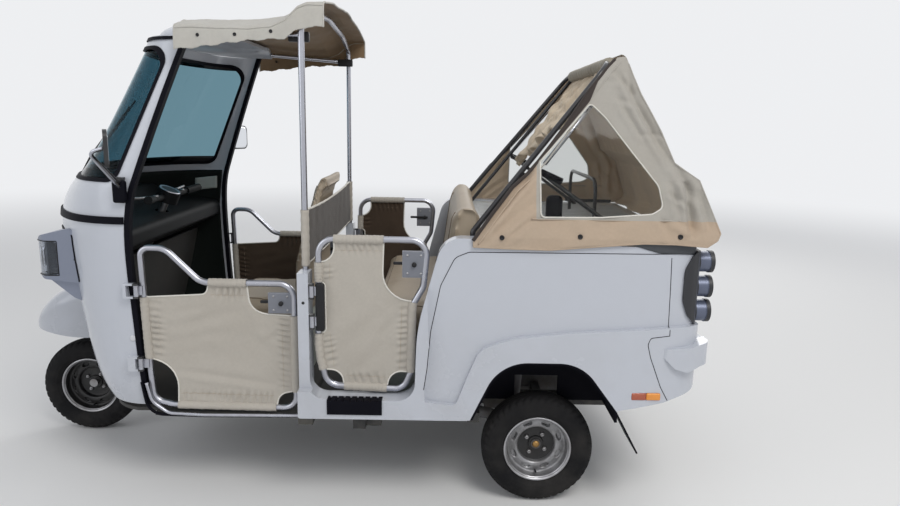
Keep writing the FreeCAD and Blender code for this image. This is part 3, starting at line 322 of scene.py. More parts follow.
def mixNode(tree, factor, a, b, kind="RGBA"):
    node = addNode(tree, "ShaderNodeMix", data_type=kind)
    first, result = {"RGBA": (6, 2), "FLOAT": (2, 0)}[kind]
    for index, value in ((0, factor), (first, a), (first + 1, b)):
        feed(tree, value, node.inputs[index])
    return node.outputs[result]


def makeGrimeGroup():
    # dust that gathers in patches and thickens towards the ground
    g, inp, out = startGroup("roadGrime", [
        ("Color", "Color", (0.8, 0.8, 0.8, 1)), ("Dust", "Color", (0.2, 0.17, 0.13, 1)),
        ("Amount", "Float", 0.4), ("Scale", "Float", 6.0), ("Low", "Float", 0.2), ("High", "Float", 1.0),
        ("Roughness", "Float", 0.3)], [("Color", "Color"), ("Roughness", "Float")])
    big = texture(g, "Noise", inp["Scale"], Detail=6.0, Roughness=0.62)
    split = addNode(g, "ShaderNodeSeparateXYZ")
    fade = setInputs(addNode(g, "ShaderNodeMapRange", interpolation_type="SMOOTHSTEP"), To_Min=1.0, To_Max=0.12)
    patch = setInputs(addNode(g, "ShaderNodeMapRange"), From_Min=0.38, From_Max=0.72)
    wire(g, (objectPlace(g), split.inputs[0]), (split.outputs["Z"], fade.inputs["Value"]),
         (inp["Low"], fade.inputs["From Min"]), (inp["High"], fade.inputs["From Max"]),
         (big["Fac"], patch.inputs["Value"]))
    mask = mathNode(g, "MULTIPLY", mathNode(g, "MULTIPLY", patch.outputs[0], fade.outputs[0]), inp["Amount"],
                    clamp=True)
    rough = mathNode(g, "ADD", inp["Roughness"], mathNode(g, "MULTIPLY", mask, 0.45), clamp=True)
    wire(g, (mixNode(g, mask, inp["Color"], inp["Dust"]), out["Color"]), (rough, out["Roughness"]))
    return g


def makeClothGroup():
    # a plain weave: fine bands across the two directions the sheet runs in, with slubs and soft stains, and painted
    # shade where the weave is low
    g, inp, out = startGroup("plainWeave", [
        ("Color", "Color", (0.5, 0.44, 0.34, 1)), ("Stain", "Color", (0.3, 0.24, 0.17, 1)),
        ("Thread Scale", "Float", 380.0), ("Stain Amount", "Float", 0.3), ("Runs", "Vector", (1, 0, 1))],
        [("Color", "Color"), ("Height", "Float")])
    runs = addNode(g, "ShaderNodeSeparateXYZ")
    wire(g, (inp["Runs"], runs.inputs[0]))
    heights = []
    for direction in "XYZ":
        band = texture(g, "Wave", inp["Thread Scale"], {"wave_type": "BANDS", "bands_direction": direction},
                       Distortion=0.6, Detail=1.0)
        heights.append(mathNode(g, "MULTIPLY", band["Fac"], runs.outputs[direction]))
    weave = mathNode(g, "MULTIPLY", mathNode(g, "ADD", mathNode(g, "ADD", *heights[:2]), heights[2]), 0.5)
    slub = texture(g, "Noise", 90.0, Detail=3.0)
    height = mathNode(g, "ADD", weave, mathNode(g, "MULTIPLY", slub["Fac"], 0.5))
    stain = texture(g, "Noise", 4.5, Detail=7.0, Roughness=0.65)
    patch = setInputs(addNode(g, "ShaderNodeMapRange"), From_Min=0.42, From_Max=0.78)
    wire(g, (stain["Fac"], patch.inputs["Value"]))
    mask = mathNode(g, "MULTIPLY", patch.outputs[0], inp["Stain Amount"], clamp=True)
    # the colour darkened where the weave is low: painted shade between the threads
    shade = mathNode(g, "ADD", mathNode(g, "MULTIPLY", height, 0.22), 0.86)
    lit = addNode(g, "ShaderNodeVectorMath", operation="SCALE")
    wire(g, (mixNode(g, mask, inp["Color"], inp["Stain"]), lit.inputs[0]), (shade, lit.inputs["Scale"]),
         (lit.outputs[0], out["Color"]), (height, out["Height"]))
    return g


def makeGrainGroup():
    # fine cells and soft blotches, for moulded plastic, rubber and vinyl
    g, inp, out = startGroup("fineGrain", [
        ("Color", "Color", (0.1, 0.1, 0.1, 1)), ("Second", "Color", (0.14, 0.14, 0.14, 1)),
        ("Scale", "Float", 300.0), ("Blotch Scale", "Float", 8.0)], [("Color", "Color"), ("Height", "Float")])
    cell = texture(g, "Voronoi", inp["Scale"], {"feature": "DISTANCE_TO_EDGE"})
    blotch = texture(g, "Noise", inp["Blotch Scale"], Detail=5.0, Roughness=0.6)
    wire(g, (cell["Distance"], out["Height"]),
         (mixNode(g, blotch["Fac"], inp["Color"], inp["Second"]), out["Color"]))
    return g


grimeGroup, clothGroup, grainGroup = makeGrimeGroup(), makeClothGroup(), makeGrainGroup()


def placeGroup(material, group, **values):
    node = material.node_tree.nodes.new("ShaderNodeGroup")
    node.node_tree = group
    for key, value in values.items():
        node.inputs[key.replace("_", " ")].default_value = (*value, 1) if isinstance(value, tuple) else value
    return node


def addBump(material, shader, height, strength, distance):
    tree = material.node_tree
    bump = setInputs(tree.nodes.new("ShaderNodeBump"), Strength=strength, Distance=distance)
    wire(tree, (height, bump.inputs["Height"]), (bump.outputs["Normal"], shader.inputs["Normal"]))


def noiseHeight(material, scale, detail=2.0):
    return texture(material.node_tree, "Noise", scale, Detail=detail)["Fac"]


def grimyMaterial(name, color, dust, amount, scale, low, high, rough, bumpScale, bump, **values):
    material, shader = newMaterial(name, **values)
    grime = placeGroup(material, grimeGroup, Color=color, Dust=dust, Amount=amount, Scale=scale,
                       Low=low, High=high, Roughness=rough)
    wire(material.node_tree, (grime.outputs["Color"], shader.inputs["Base Color"]),
         (grime.outputs["Roughness"], shader.inputs["Roughness"]))
    addBump(material, shader, noiseHeight(material, bumpScale), bump, 0.001)
    return material


def clothMaterial(name, color, stain, amount, threads, bump=0.35, runs=(1, 0, 1)):
    material, shader = newMaterial(name, Roughness=0.86, Sheen_Weight=0.15, Sheen_Roughness=0.5,
                                   Specular_IOR_Level=0.25)
    weave = placeGroup(material, clothGroup, Color=color, Stain=stain, Thread_Scale=threads, Stain_Amount=amount,
                       Runs=list(runs))
    wire(material.node_tree, (weave.outputs["Color"], shader.inputs["Base Color"]))
    addBump(material, shader, weave.outputs["Height"], bump, 0.0006)
    return material


def grainMaterial(name, color, second, scale, rough, bump, **values):
    material, shader = newMaterial(name, Roughness=rough, **values)
    grain = placeGroup(material, grainGroup, Color=color, Second=second, Scale=scale)
    wire(material.node_tree, (grain.outputs["Color"], shader.inputs["Base Color"]))
    addBump(material, shader, grain.outputs["Height"], bump, 0.0005)
    return material


def makeMaskGroup():
    # 1 inside a box and its mirror image on the other side of the vehicle, 0 elsewhere
    g, inp, out = startGroup("boxMask", [("Low", "Vector", (0, 0, 0)), ("High", "Vector", (1, 1, 1))],
                             [("Inside", "Float")])
    parts = []
    for source in (objectPlace(g), inp["Low"], inp["High"]):
        parts.append(addNode(g, "ShaderNodeSeparateXYZ"))
        wire(g, (source, parts[-1].inputs[0]))
    total = None
    for axis in "XYZ":
        value = parts[0].outputs[axis]
        if axis == "Y":
            value = mathNode(g, "ABSOLUTE", value)
        inside = mathNode(g, "MULTIPLY", mathNode(g, "GREATER_THAN", value, parts[1].outputs[axis]),
                          mathNode(g, "LESS_THAN", value, parts[2].outputs[axis]))
        total = inside if total is None else mathNode(g, "MULTIPLY", total, inside)
    wire(g, (total, out["Inside"]))
    return g


maskGroup = makeMaskGroup()


def boxMask(material, boxes):
    # 1 inside any of the boxes
    tree, mask = material.node_tree, None
    for low, high in boxes:
        inside = placeGroup(material, maskGroup, Low=list(low), High=list(high)).outputs["Inside"]
        mask = inside if mask is None else mathNode(tree, "MAXIMUM", mask, inside)
    return mask


def paintOver(material, boxes, color, metallic, rough):
    # the parts of a painted piece that have another finish, such as hinges welded to a panel
    tree, sockets = material.node_tree, material.node_tree.nodes["Principled BSDF"].inputs
    mask = boxMask(material, boxes)
    base, grained = (sockets[label].links[0].from_socket for label in ("Base Color", "Roughness"))
    plain = sockets["Metallic"].default_value
    metal = mathNode(tree, "ADD", mathNode(tree, "MULTIPLY", mask, metallic - plain), plain)
    wire(tree, (mixNode(tree, mask, base, (*color, 1)), sockets["Base Color"]), (metal, sockets["Metallic"]),
         (mixNode(tree, mask, grained, rough, "FLOAT"), sockets["Roughness"]))


finish = {
    # white paint, made greyer and bluer than it is: painted shade from the sky light
    "whiteInShade": (0.53, 0.555, 0.61),
    "roadDust": (0.26, 0.24, 0.2),
    "canvas": (0.475, 0.442, 0.39),
    "canvasStain": (0.34, 0.3, 0.245),
    "tan": (0.47, 0.368, 0.275),
    "lining": (0.075, 0.052, 0.036),
}

bodyPaint = grimyMaterial("bodyPaint", finish["whiteInShade"], finish["roadDust"], 0.3, 3.2, 0.25, 0.9, 0.24, 60, 0.015,
                          Coat_Weight=0.6, Coat_Roughness=0.07)
innerPaint = grimyMaterial("innerPaint", (0.42, 0.46, 0.43), finish["roadDust"], 0.5, 5.0, 0.3, 1.2, 0.4, 80, 0.05)
canvas = clothMaterial("canvas", finish["canvas"], finish["canvasStain"], 0.22, 300)
roofCanvas = clothMaterial("roofCanvas", (0.55, 0.535, 0.49), finish["canvasStain"], 0.3, 260, runs=(1, 0, 0))
canvasHem = clothMaterial("canvasHem", (0.72, 0.7, 0.64), finish["canvas"], 0.15, 300)
crossCanvas = clothMaterial("crossCanvas", finish["canvas"], finish["canvasStain"], 0.22, 300, runs=(0, 1, 1))
# near-black copy of the partition canvas: painted shade on its side towards the passengers
crossCanvasShaded = clothMaterial("crossCanvasShaded", (0.065, 0.055, 0.047), (0.04, 0.034, 0.028), 0.4, 260, runs=(0, 1, 1))
# the hood's inner face, brighter and warmer than its canvas: painted light through the hood
hoodInsidePaintedLight = clothMaterial("hoodInsidePaintedLight", (0.68, 0.545, 0.4), (0.48, 0.37, 0.26), 0.3, 300)
# paler than the hood's canvas: painted light on the canvas bunched at the hood's front
gathersPaintedLight = clothMaterial("gathersPaintedLight", (0.74, 0.63, 0.49), (0.52, 0.42, 0.3), 0.3, 300)
thread = clothMaterial("thread", (0.4, 0.33, 0.24), (0.3, 0.24, 0.17), 0.2, 600)
lining = clothMaterial("lining", finish["lining"], (0.04, 0.028, 0.02), 0.4, 260)
roofLining = clothMaterial("roofLining", (0.28, 0.19, 0.11), (0.16, 0.11, 0.07), 0.4, 260, runs=(1, 0, 0))
darkBand = clothMaterial("darkBand", (0.05, 0.04, 0.036), (0.035, 0.028, 0.026), 0.4, 300)
foamWrap = clothMaterial("foamWrap", (0.34, 0.31, 0.25), (0.2, 0.17, 0.13), 0.6, 150, 0.6)
# the hood's grey canvas, darker than the doors' canvas: partly its own grey, partly painted shade on the hood top
hoodShadedGrey = (0.405, 0.385, 0.347)
hoodCanvas = clothMaterial("hoodCanvas", hoodShadedGrey, finish["canvasStain"], 0.26, 300)
weave = [n for n in hoodCanvas.node_tree.nodes if n.bl_idname == "ShaderNodeGroup"][0]
skirtMask = boxMask(hoodCanvas, [((-2, -1, 0.9), (1, 2, 1.184)), ((axleX(52), -1, 0.9), (1, 2, 1.4))])
hoodColor = mixNode(hoodCanvas.node_tree, skirtMask, (*hoodShadedGrey, 1), (*finish["tan"], 1))
wire(hoodCanvas.node_tree, (hoodColor, weave.inputs["Color"]))
tarp = grainMaterial("tarp", (0.042, 0.047, 0.055), (0.065, 0.07, 0.078), 240, 0.5, 0.2)
blackRubber = grainMaterial("blackRubber", (0.004, 0.004, 0.007), (0.008, 0.008, 0.012), 500, 0.5, 0.12,
                            Specular_IOR_Level=0.05)
blackPlastic = grainMaterial("blackPlastic", (0.013, 0.013, 0.015), (0.023, 0.023, 0.025), 700, 0.4, 0.15,
                             Specular_IOR_Level=0.25)
darkPlastic = grainMaterial("darkPlastic", (0.007, 0.008, 0.009), (0.012, 0.013, 0.014), 420, 0.55, 0.2,
                            Specular_IOR_Level=0.12)
# near-black sheet for the inside of the nose: painted shade
cabShadeSheet = grainMaterial("cabShadeSheet", (0.006, 0.009, 0.008), (0.01, 0.013, 0.012), 300, 0.6, 0.15,
                         Specular_IOR_Level=0.1)
latchGrey = grainMaterial("latchGrey", (0.17, 0.18, 0.21), (0.21, 0.22, 0.25), 400, 0.42, 0.15)
vinyl = grainMaterial("vinyl", (0.44, 0.37, 0.28), (0.37, 0.3, 0.22), 260, 0.48, 0.25)
vinylPiping = grainMaterial("vinylPiping", (0.2, 0.155, 0.105), (0.17, 0.13, 0.09), 300, 0.5, 0.15)
tyreRubber = grimyMaterial("tyreRubber", (0.009, 0.009, 0.01), (0.075, 0.07, 0.065), 0.45, 9, 0.0, 0.6, 0.74, 400,
                           0.2, Specular_IOR_Level=0.15)
chassisBlack = grimyMaterial("chassisBlack", (0.018, 0.018, 0.019), finish["roadDust"], 0.5, 7, 0.2, 0.8, 0.42, 160,
                             0.1)
bareSteel = grimyMaterial("bareSteel", (0.36, 0.36, 0.37), (0.12, 0.09, 0.07), 0.5, 12, 0.2, 1.2, 0.38, 200, 0.08,
                          Metallic=0.9)
castMetal = grimyMaterial("castMetal", (0.12, 0.12, 0.125), (0.1, 0.08, 0.06), 0.8, 14, 0.1, 0.8, 0.55, 120, 0.3,
                          Metallic=0.5)
chrome = grimyMaterial("chrome", (0.47, 0.48, 0.53), (0.25, 0.24, 0.24), 0.5, 16, 0.2, 1.6, 0.27, 300, 0.03,
                       Metallic=1.0)
brass = grimyMaterial("brass", (0.45, 0.27, 0.1), (0.12, 0.07, 0.03), 0.6, 30, 0.1, 0.6, 0.35, 200, 0.1, Metallic=1.0)
blackTube = grimyMaterial("blackTube", (0.02, 0.02, 0.024), (0.1, 0.09, 0.085), 0.3, 10, 0.3, 1.8, 0.3, 200, 0.05,
                          Coat_Weight=0.3)
silverPaint = grimyMaterial("silverPaint", (0.34, 0.34, 0.35), (0.05, 0.045, 0.04), 0.8, 14, 0.1, 0.7, 0.38, 150,
                            0.08, Metallic=0.7)
lampSilver = grimyMaterial("lampSilver", (0.24, 0.265, 0.335), (0.2, 0.2, 0.2), 0.25, 9, 0.3, 1.2, 0.3, 120, 0.04,
                           Metallic=0.55)
podSilver = grimyMaterial("podSilver", (0.13, 0.15, 0.215), (0.11, 0.115, 0.13), 0.25, 9, 0.3, 1.2, 0.32, 120, 0.04,
                          Metallic=0.4)
rimLip = grimyMaterial("rimLip", (0.5, 0.5, 0.52), (0.07, 0.06, 0.05), 0.6, 14, 0.1, 0.7, 0.3, 150, 0.05,
                       Metallic=0.85)
wheelBlack = grimyMaterial("wheelBlack", (0.008, 0.008, 0.009), (0.06, 0.055, 0.05), 0.35, 12, 0.1, 0.6, 0.36, 200,
                           0.08)
floorMat = grainMaterial("floorMat", (0.028, 0.029, 0.031), (0.06, 0.056, 0.05), 180, 0.72, 0.3)
deckPaint = grimyMaterial("deckPaint", (0.62, 0.64, 0.65), finish["roadDust"], 0.45, 7, 0.8, 1.4, 0.35, 120, 0.05)
plateBlank = grainMaterial("plateBlank", (0.62, 0.63, 0.62), (0.55, 0.56, 0.55), 300, 0.4, 0.1)
mirrorGlass, _ = newMaterial("mirrorGlass", Base_Color=(0.8, 0.82, 0.85), Metallic=1.0, Roughness=0.03)
reflector, _ = newMaterial("reflector", Base_Color=(0.8, 0.8, 0.82), Metallic=1.0, Roughness=0.12)

hinges = [((axleX(1562), 0.6035, 0.51), (axleX(1609), 0.66, 0.92)),
          ((axleX(886), 0.662, 0.72), (axleX(909.6), 0.71, 0.93))]
paintOver(bodyPaint, hinges, (0.016, 0.016, 0.018), 0.0, 0.4)
lensBox = ((axleX(1961.5), 0.333, 0.886), (axleX(2043.2), 0.4823, 1.032))
paintOver(lampSilver, [lensBox], (0.085, 0.092, 0.105), 0.5, 0.3)


def glassMaterial(name, color, rough, ior, bumpScale=0, bump=0.0, alpha=1.0):
    material, shader = newMaterial(name, Base_Color=color, Roughness=rough, IOR=ior, Transmission_Weight=1.0,
                                   Alpha=alpha)
    if bump:
        addBump(material, shader, noiseHeight(material, bumpScale, 4.0), bump, 0.002)
    return material


screenGlass = glassMaterial("screenGlass", (0.16, 0.29, 0.345), 0.02, 1.12)
clearVinyl = glassMaterial("clearVinyl", (0.8, 0.81, 0.8), 0.05, 1.2, 7, 0.4)
lampGlass = glassMaterial("lampGlass", (0.62, 0.65, 0.7), 0.03, 1.4)
redLens = grainMaterial("redLens", (0.5, 0.02, 0.015), (0.42, 0.015, 0.01), 160, 0.15, 0.5, Coat_Weight=1.0)
orangeLens = grainMaterial("orangeLens", (0.85, 0.3, 0.02), (0.75, 0.25, 0.015), 160, 0.15, 0.5, Coat_Weight=1.0)
darkOrangeLens = grainMaterial("darkOrangeLens", (0.42, 0.075, 0.02), (0.36, 0.06, 0.015), 160, 0.15, 0.5,
                               Coat_Weight=1.0)
clearLens = grainMaterial("clearLens", (0.62, 0.63, 0.66), (0.56, 0.57, 0.6), 160, 0.12, 0.5, Coat_Weight=1.0)
mirrorBack = grainMaterial("mirrorBack", (0.016, 0.016, 0.018), (0.028, 0.028, 0.03), 700, 0.4, 0.15)


def flutes(material, scale, strength):
    # upright ribs across a lens
    tree, shader = material.node_tree, material.node_tree.nodes["Principled BSDF"]
    wave = setInputs(addNode(tree, "ShaderNodeTexWave", wave_type="BANDS", bands_direction="DIAGONAL"),
                     Scale=scale, Distortion=0.0)
    flat = setInputs(addNode(tree, "ShaderNodeMapping"), Scale=(1, 1, 0))
    wire(tree, (objectPlace(tree), flat.inputs["Vector"]), (flat.outputs[0], wave.inputs["Vector"]))
    addBump(material, shader, wave.outputs["Fac"], strength, 0.002)


flutes(lampGlass, 30, 0.45)
print("materials made")

nodeFinish = {
    bodyPaint: ["front_shell", "windscreen_frame", "roof_header", "tub_side_left", "tub_side_right", "rear_panel",
                "front_mudguard"],
    innerPaint: ["seat_box", "driver_seat_base"],
    blackRubber: ["cab_seals", "wheel_arches", "steps"],
    chassisBlack: ["chassis"],
    floorMat: ["floor_pan"],
    darkPlastic: ["dashboard", "handlebar"],
    castMetal: ["engine", "rear_suspension"],
    bareSteel: ["front_fork"],
    lampSilver: ["headlamps"],
    deckPaint: ["luggage_deck"],
    podSilver: ["tail_lamps"],
    blackTube: ["hood_frame"],
    chrome: ["roof_frame", "front_door_frame_left", "front_door_frame_right",
             "rear_door_frame_left", "rear_door_frame_right"],
    mirrorBack: ["mirrors"],
    screenGlass: ["windscreen"],
}
for material, names in nodeFinish.items():
    for name in names:
        nodes[name].data.materials.clear()
        nodes[name].data.materials.append(material)
podBoxes = [((axleX(-575), 0.5, 0.77), (axleX(-500), 0.75, 1.08)),
            ((axleX(-590), 0.5, 0.77), (axleX(-576), 0.75, 1.08)),
            ((axleX(-650), 0.5, 0.77), (axleX(-629.5), 0.75, 1.08))]
paintOver(podSilver, podBoxes, (0.022, 0.023, 0.027), 0.0, 0.45)
print("CAD pieces finished")


def pointsOf(mesh):
    points = np.empty(len(mesh.vertices) * 3)
    mesh.vertices.foreach_get("co", points)
    return points.reshape(-1, 3)


def surfaceOf(name):
    # a ray finder for one CAD piece
    mesh = nodes[name].data
    return BVHTree.FromPolygons(pointsOf(mesh).tolist(), [tuple(p.vertices) for p in mesh.polygons])


def castOnto(finder, starts, direction, lift=0.0):
    # where rays from the starts meet the piece, moved back by lift; rays that miss are left out
    aim = Vector(direction)
    hits = [finder.ray_cast(Vector(p), aim) for p in np.reshape(starts, (-1, 3))]
    return np.array([tuple(h[0] - aim * lift) for h in hits if h[0] is not None])


def strand(name, paths, radius, material, slotName="rubber_black", sides=8, body="body", closed=False, squeeze=1.0,
           up=(0, 1, 0)):
    # a thin bead, seam or thread along one or more paths
    paths = paths if isinstance(paths, list) else [paths]
    grids = [tubeGrid(p, radius, sides, closed=closed, up=up, squeeze=squeeze) for p in paths]
    return made(name, grids, material, slotName, body)


# Tyres
tyre = {"width": 0.116, "lugs": 44, "depth": 0.005}


def tyreGrid(centre, p):
    # a round section turned about the axle; the tread sinks where lug and groove waves fall below zero
    half = p["width"] / 2
    profile = np.array([
        (0.126, 0.036), (0.1375, 0.0388), (0.144, 0.046), (0.158, 0.0545), (0.174, 0.0578), (0.19, 0.0565),
        (0.203, 0.0535), (0.2105, 0.05), (0.2155, 0.0475), (0.2195, 0.044), (0.2235, 0.037), (0.2262, 0.027),
        (0.2275, 0.014), (0.228, 0.0)])
    profile = np.concatenate([profile, profile[-2::-1] * (1, -1)])
    profile = respace(profile, count=96)
    around = fullTurn(352)[:, None]
    r, y = profile[:, 0][None], profile[:, 1][None]
    across = np.abs(y) / half
    phase = around * p["lugs"] + np.where(y > 0, 0, np.pi)
    lug = np.cos(phase + 6 * across) * 0.5 + 0.5
    onTread = np.clip((r - 0.2025) / 0.008, 0, 1)
    zigzag = np.abs(across - 0.3 - 0.06 * np.sin(around * p["lugs"]))
    groove = np.clip(1 - zigzag / 0.055, 0, 1) + np.clip(1 - across / 0.06, 0, 1)
    shoulder = np.clip((across - 0.52) / 0.08, 0, 1) * np.clip((0.42 - lug) / 0.16, 0, 1)
    sink = p["depth"] * onTread * np.clip(groove + shoulder, 0, 1)
    rings = 0.0009 * (np.cos((r - 0.15) * 900) > 0.92) * (r > 0.15) * (r < 0.2)
    r = r - sink + rings
    return gridOf(r * np.cos(around), y, r * np.sin(around))[0] + np.asarray(centre, float), True, True


rim = {
    "lip": [(0.138, 0.0392), (0.1382, 0.0425), (0.1372, 0.044), (0.135, 0.0443), (0.1322, 0.0436), (0.1298, 0.0415),
            (0.128, 0.0385), (0.1262, 0.03), (0.124, 0.03), (0.125, 0.0365)],
    "dish": [(0.1262, 0.031), (0.1248, 0.02), (0.1225, 0.008), (0.1195, 0.002), (0.114, 0.0),
             (0.104, 0.002), (0.092, 0.004), (0.083, 0.003), (0.078, -0.001), (0.0762, -0.008),
             (0.076, -0.026), (0.079, -0.026), (0.093, -0.01), (0.112, -0.008), (0.117, -0.012),
             (0.119, -0.03), (0.1205, -0.0385), (0.13, -0.04), (0.1345, -0.0435), (0.138, -0.0438),
             (0.1382, -0.0395), (0.127, -0.0362), (0.1262, -0.034)],
    "hub": [(0.0, -0.0115), (0.03, -0.012), (0.033, -0.019), (0.06, -0.0215), (0.0765, -0.02),
            (0.092, -0.013), (0.092, -0.034), (0.0, -0.034)],
    "slots": 8, "slotRadius": 0.099, "slotHalf": (0.0175, 0.0085), "slotDepth": 0.016,
    "shadowHalf": (0.0172, 0.0088), "shadowInset": 0.0098,
    "nut": [(0.0, -0.008), (0.0062, -0.008), (0.0085, -0.0095), (0.009, -0.0215)],
    "stud": [(0.0, -0.003), (0.004, -0.0035), (0.0045, -0.009)], "studRadius": 0.046, "studTurn": 0.6,
    "cap": [(0.0, 0.0035), (0.0075, 0.003), (0.012, 0.001), (0.015, -0.003), (0.016, -0.0125)],
    "valve": [(0.112, 0.004), (0.11, 0.016), (0.108, 0.028)], "valveRadius": 0.0035,
}


def rimGrid(centre, sign, p):
    # the dish turned about the axle, with a pocket pressed in for each oval slot
    profile = respacedLoop(np.array(p["dish"]), count=120)
    around = fullTurn(288)[:, None]
    r, y = profile[:, 0][None], profile[:, 1][None]
    step = 2 * np.pi / p["slots"]
    off = (np.mod(around, step) - step / 2) * p["slotRadius"]
    q = (off / p["slotHalf"][0]) ** 2 + ((r - p["slotRadius"]) / p["slotHalf"][1]) ** 2
    y = y - p["slotDepth"] * np.clip((1.25 - q) / 0.45, 0, 1) * (y > -0.002) * (r > 0.08) * (r < 0.118)
    return gridOf(r * np.cos(around), y * sign, r * np.sin(around))[0] + np.asarray(centre, float), True, True


def discGrid(centre, across, up, halfU, halfV):
    # a flat oval
    t = fullTurn(24)[:, None, None]
    k = np.linspace(0, 1, 4)[None, :, None]
    u, v = (np.asarray(m, float) for m in (across, up))
    return np.asarray(centre, float) + k * (halfU * np.cos(t) * u + halfV * np.sin(t) * v), True, False


def makeWheel(label, centre, sign, dishPaint, hubCap):
    body = {"front": "front_wheel", "left": "rear_wheel_left", "right": "rear_wheel_right"}[label]
    node = "front" if label == "front" else "rear"
    tail = "" if label == "front" else "_" + label
    centre = np.array(centre, float)
    piece = made("tread_" + label, [tyreGrid(centre, tyre)], tyreRubber, "tyre_rubber", body)
    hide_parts(node + "_tyre" + tail)
    dish = made("rim_dish_" + label, [rimGrid(centre, sign, rim)], dishPaint, "wheel_paint", body)
    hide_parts(node + "_rim" + tail)
    lipRows = np.array(rim["lip"])
    lipGrids = [(turnedGrid(np.concatenate([lipRows, lipRows[:1]]), centre, "y", 128, sign)[0], True, False)]
    made("rim_lip_" + label, lipGrids, rimLip, "bare_steel", body)
    made("hub_" + label, [turnedGrid(rim["hub"], centre, "y", 64, sign)], wheelBlack, "wheel_paint", body, sharp=35)
    slotShadows, nuts = [], []
    # dark ovals behind the slots: painted shade in the openings
    for a in (np.arange(rim["slots"]) + 0.5) * 2 * np.pi / rim["slots"]:
        radial = np.array([math.cos(a), 0, math.sin(a)])
        at = centre + radial * rim["slotRadius"] - (0, sign * rim["shadowInset"], 0)
        slotShadows.append(discGrid(at, (-math.sin(a), 0, math.cos(a)), radial, *rim["shadowHalf"]))
    made("slot_shadows_" + label, slotShadows, wheelBlack, "wheel_paint", body, recalc=False)
    for a in np.arange(4) * np.pi / 2 + rim["studTurn"]:
        at = centre + rim["studRadius"] * np.array([math.cos(a), 0, math.sin(a)])
        nuts += [turnedGrid(rim["nut"], at, "y", 6, sign), turnedGrid(rim["stud"], at, "y", 12, sign)]
    made("wheel_nuts_" + label, nuts, bareSteel, "bare_steel", body, sharp=30)
    made("hub_cap_" + label, [turnedGrid(rim["cap"], centre, "y", 40, sign)], hubCap, "bare_steel", body)
    path = np.array([(0, y * sign, -r) for r, y in rim["valve"]]) + centre
    strand("valve_" + label, path, rim["valveRadius"], blackRubber, body=body, up=(1, 0, 0))


makeWheel("front", (axleX(wheelbase), 0, wheelRadius), 1, wheelBlack, chrome)
makeWheel("left", (rearAxle, rearWheelY, wheelRadius), 1, silverPaint, brass)
makeWheel("right", (rearAxle, -rearWheelY, wheelRadius), -1, silverPaint, brass)
print("wheels made")


# Canvas panels
def outlineByAngle(outline, centre, angles):
    # distance from centre to the outline in each direction, for an outline that is seen whole from centre
    dense = respace(np.concatenate([outline, outline[:1]]), spacing=0.002)
    d = dense - np.asarray(centre)
    a = np.unwrap(np.arctan2(d[:, 1], d[:, 0]))
    r = np.hypot(d[:, 0], d[:, 1])
    if a[-1] < a[0]:
        a, r = a[::-1], r[::-1]
    wrapped = np.mod(angles - a[0], 2 * np.pi) + a[0]
    order = np.argsort(a)
    return np.interp(wrapped, a[order], r[order])


def flatOutline(rows, steps=8):
    # (x, z, radius) rows in metres to a closed outline of x, z points
    path = roundedPath([(x, 0, z, r) for x, z, r in rows], closed=True, steps=steps)
    return path[:-1][:, [0, 2]]


def fromTable(rows):
    # table rows in millimetres from the rear axle to x, z and radius in metres
    return [(axleX(row[0]), row[1] / 1000, (row[2] if len(row) > 2 else 0) / 1000) for row in rows]


def tableLine(rows):
    # the same without the radius
    return np.array([(x, z) for x, z, _ in fromTable(rows)])


def panelGrid(outline, centre, height, around=360, across=52, inner=None):
    # rings from the inner outline, or the centre, out to the outer one; height gives y at each x, z
    angles = fullTurn(around)
    far = outlineByAngle(outline, centre, angles)
    near = outlineByAngle(inner, centre, angles) if inner is not None else np.zeros_like(far)
    t = 1 - (1 - np.linspace(0, 1, across)[None, :]) ** 1.5
    r = near[:, None] * (1 - t) + far[:, None] * t
    x = centre[0] + r * np.cos(angles)[:, None]
    z = centre[1] + r * np.sin(angles)[:, None]
    return gridOf(x, height(x, z, t), z, True)


def crease(u, v, a, b, width, depth):
    # a valley with a softer ridge beside it, along the line from a to b and fading at both ends
    run = np.subtract(b, a)
    length = math.hypot(*run)
    du, dv = run / length
    s = ((u - a[0]) * du + (v - a[1]) * dv) / length
    off = ((v - a[1]) * du - (u - a[0]) * dv) / width
    along = np.sin(np.pi * np.clip(s, 0, 1)) ** 0.6
    return depth * along * (0.7 * np.exp(-(off - 1.7) ** 2) - np.exp(-off ** 2))


def creases(x, z, rows, softness):
    # the sum of a table's creases; ends and widths are in millimetres, and depths are divided by softness
    total = 0
    for (x0, z0), (x1, z1), width, depth in rows:
        total = total + crease(x, z, (axleX(x0), z0 / 1000), (axleX(x1), z1 / 1000), width / 1000, depth / softness)
    return total


def beside(u, v, a, b, centre):
    # how far along the line from a to b a point lies, and how far from it on the centre's side
    run = np.subtract(b, a)
    length = math.hypot(*run)
    du, dv = run / length
    side = np.sign((centre[1] - a[1]) * du - (centre[0] - a[0]) * dv)
    return (u - a[0]) * du + (v - a[1]) * dv, side * ((v - a[1]) * du - (u - a[0]) * dv), length


def channel(u, v, a, b, centre, gap, pitch, depth, seed):
    # puckers between a sleeve and the stitched line that runs beside it
    s, off, length = beside(u, v, a, b, centre)
    ends = np.clip(s / 0.02, 0, 1) * np.clip((length - s) / 0.02, 0, 1)
    phase = s * 2 * np.pi / pitch + 1.6 * np.sin(s * 31 + seed)
    pucker = np.exp(-((off - gap * 0.8) / (gap * 0.45)) ** 2) * np.sin(phase + off * 40) * (1 + 0.4 * np.sin(s * 17))
    stitch = np.exp(-((off - gap) / 0.0035) ** 2) * (0.7 + 0.3 * np.sin(s * 2 * np.pi / 0.006))
    return ends * (depth * pucker - 0.0013 * stitch)


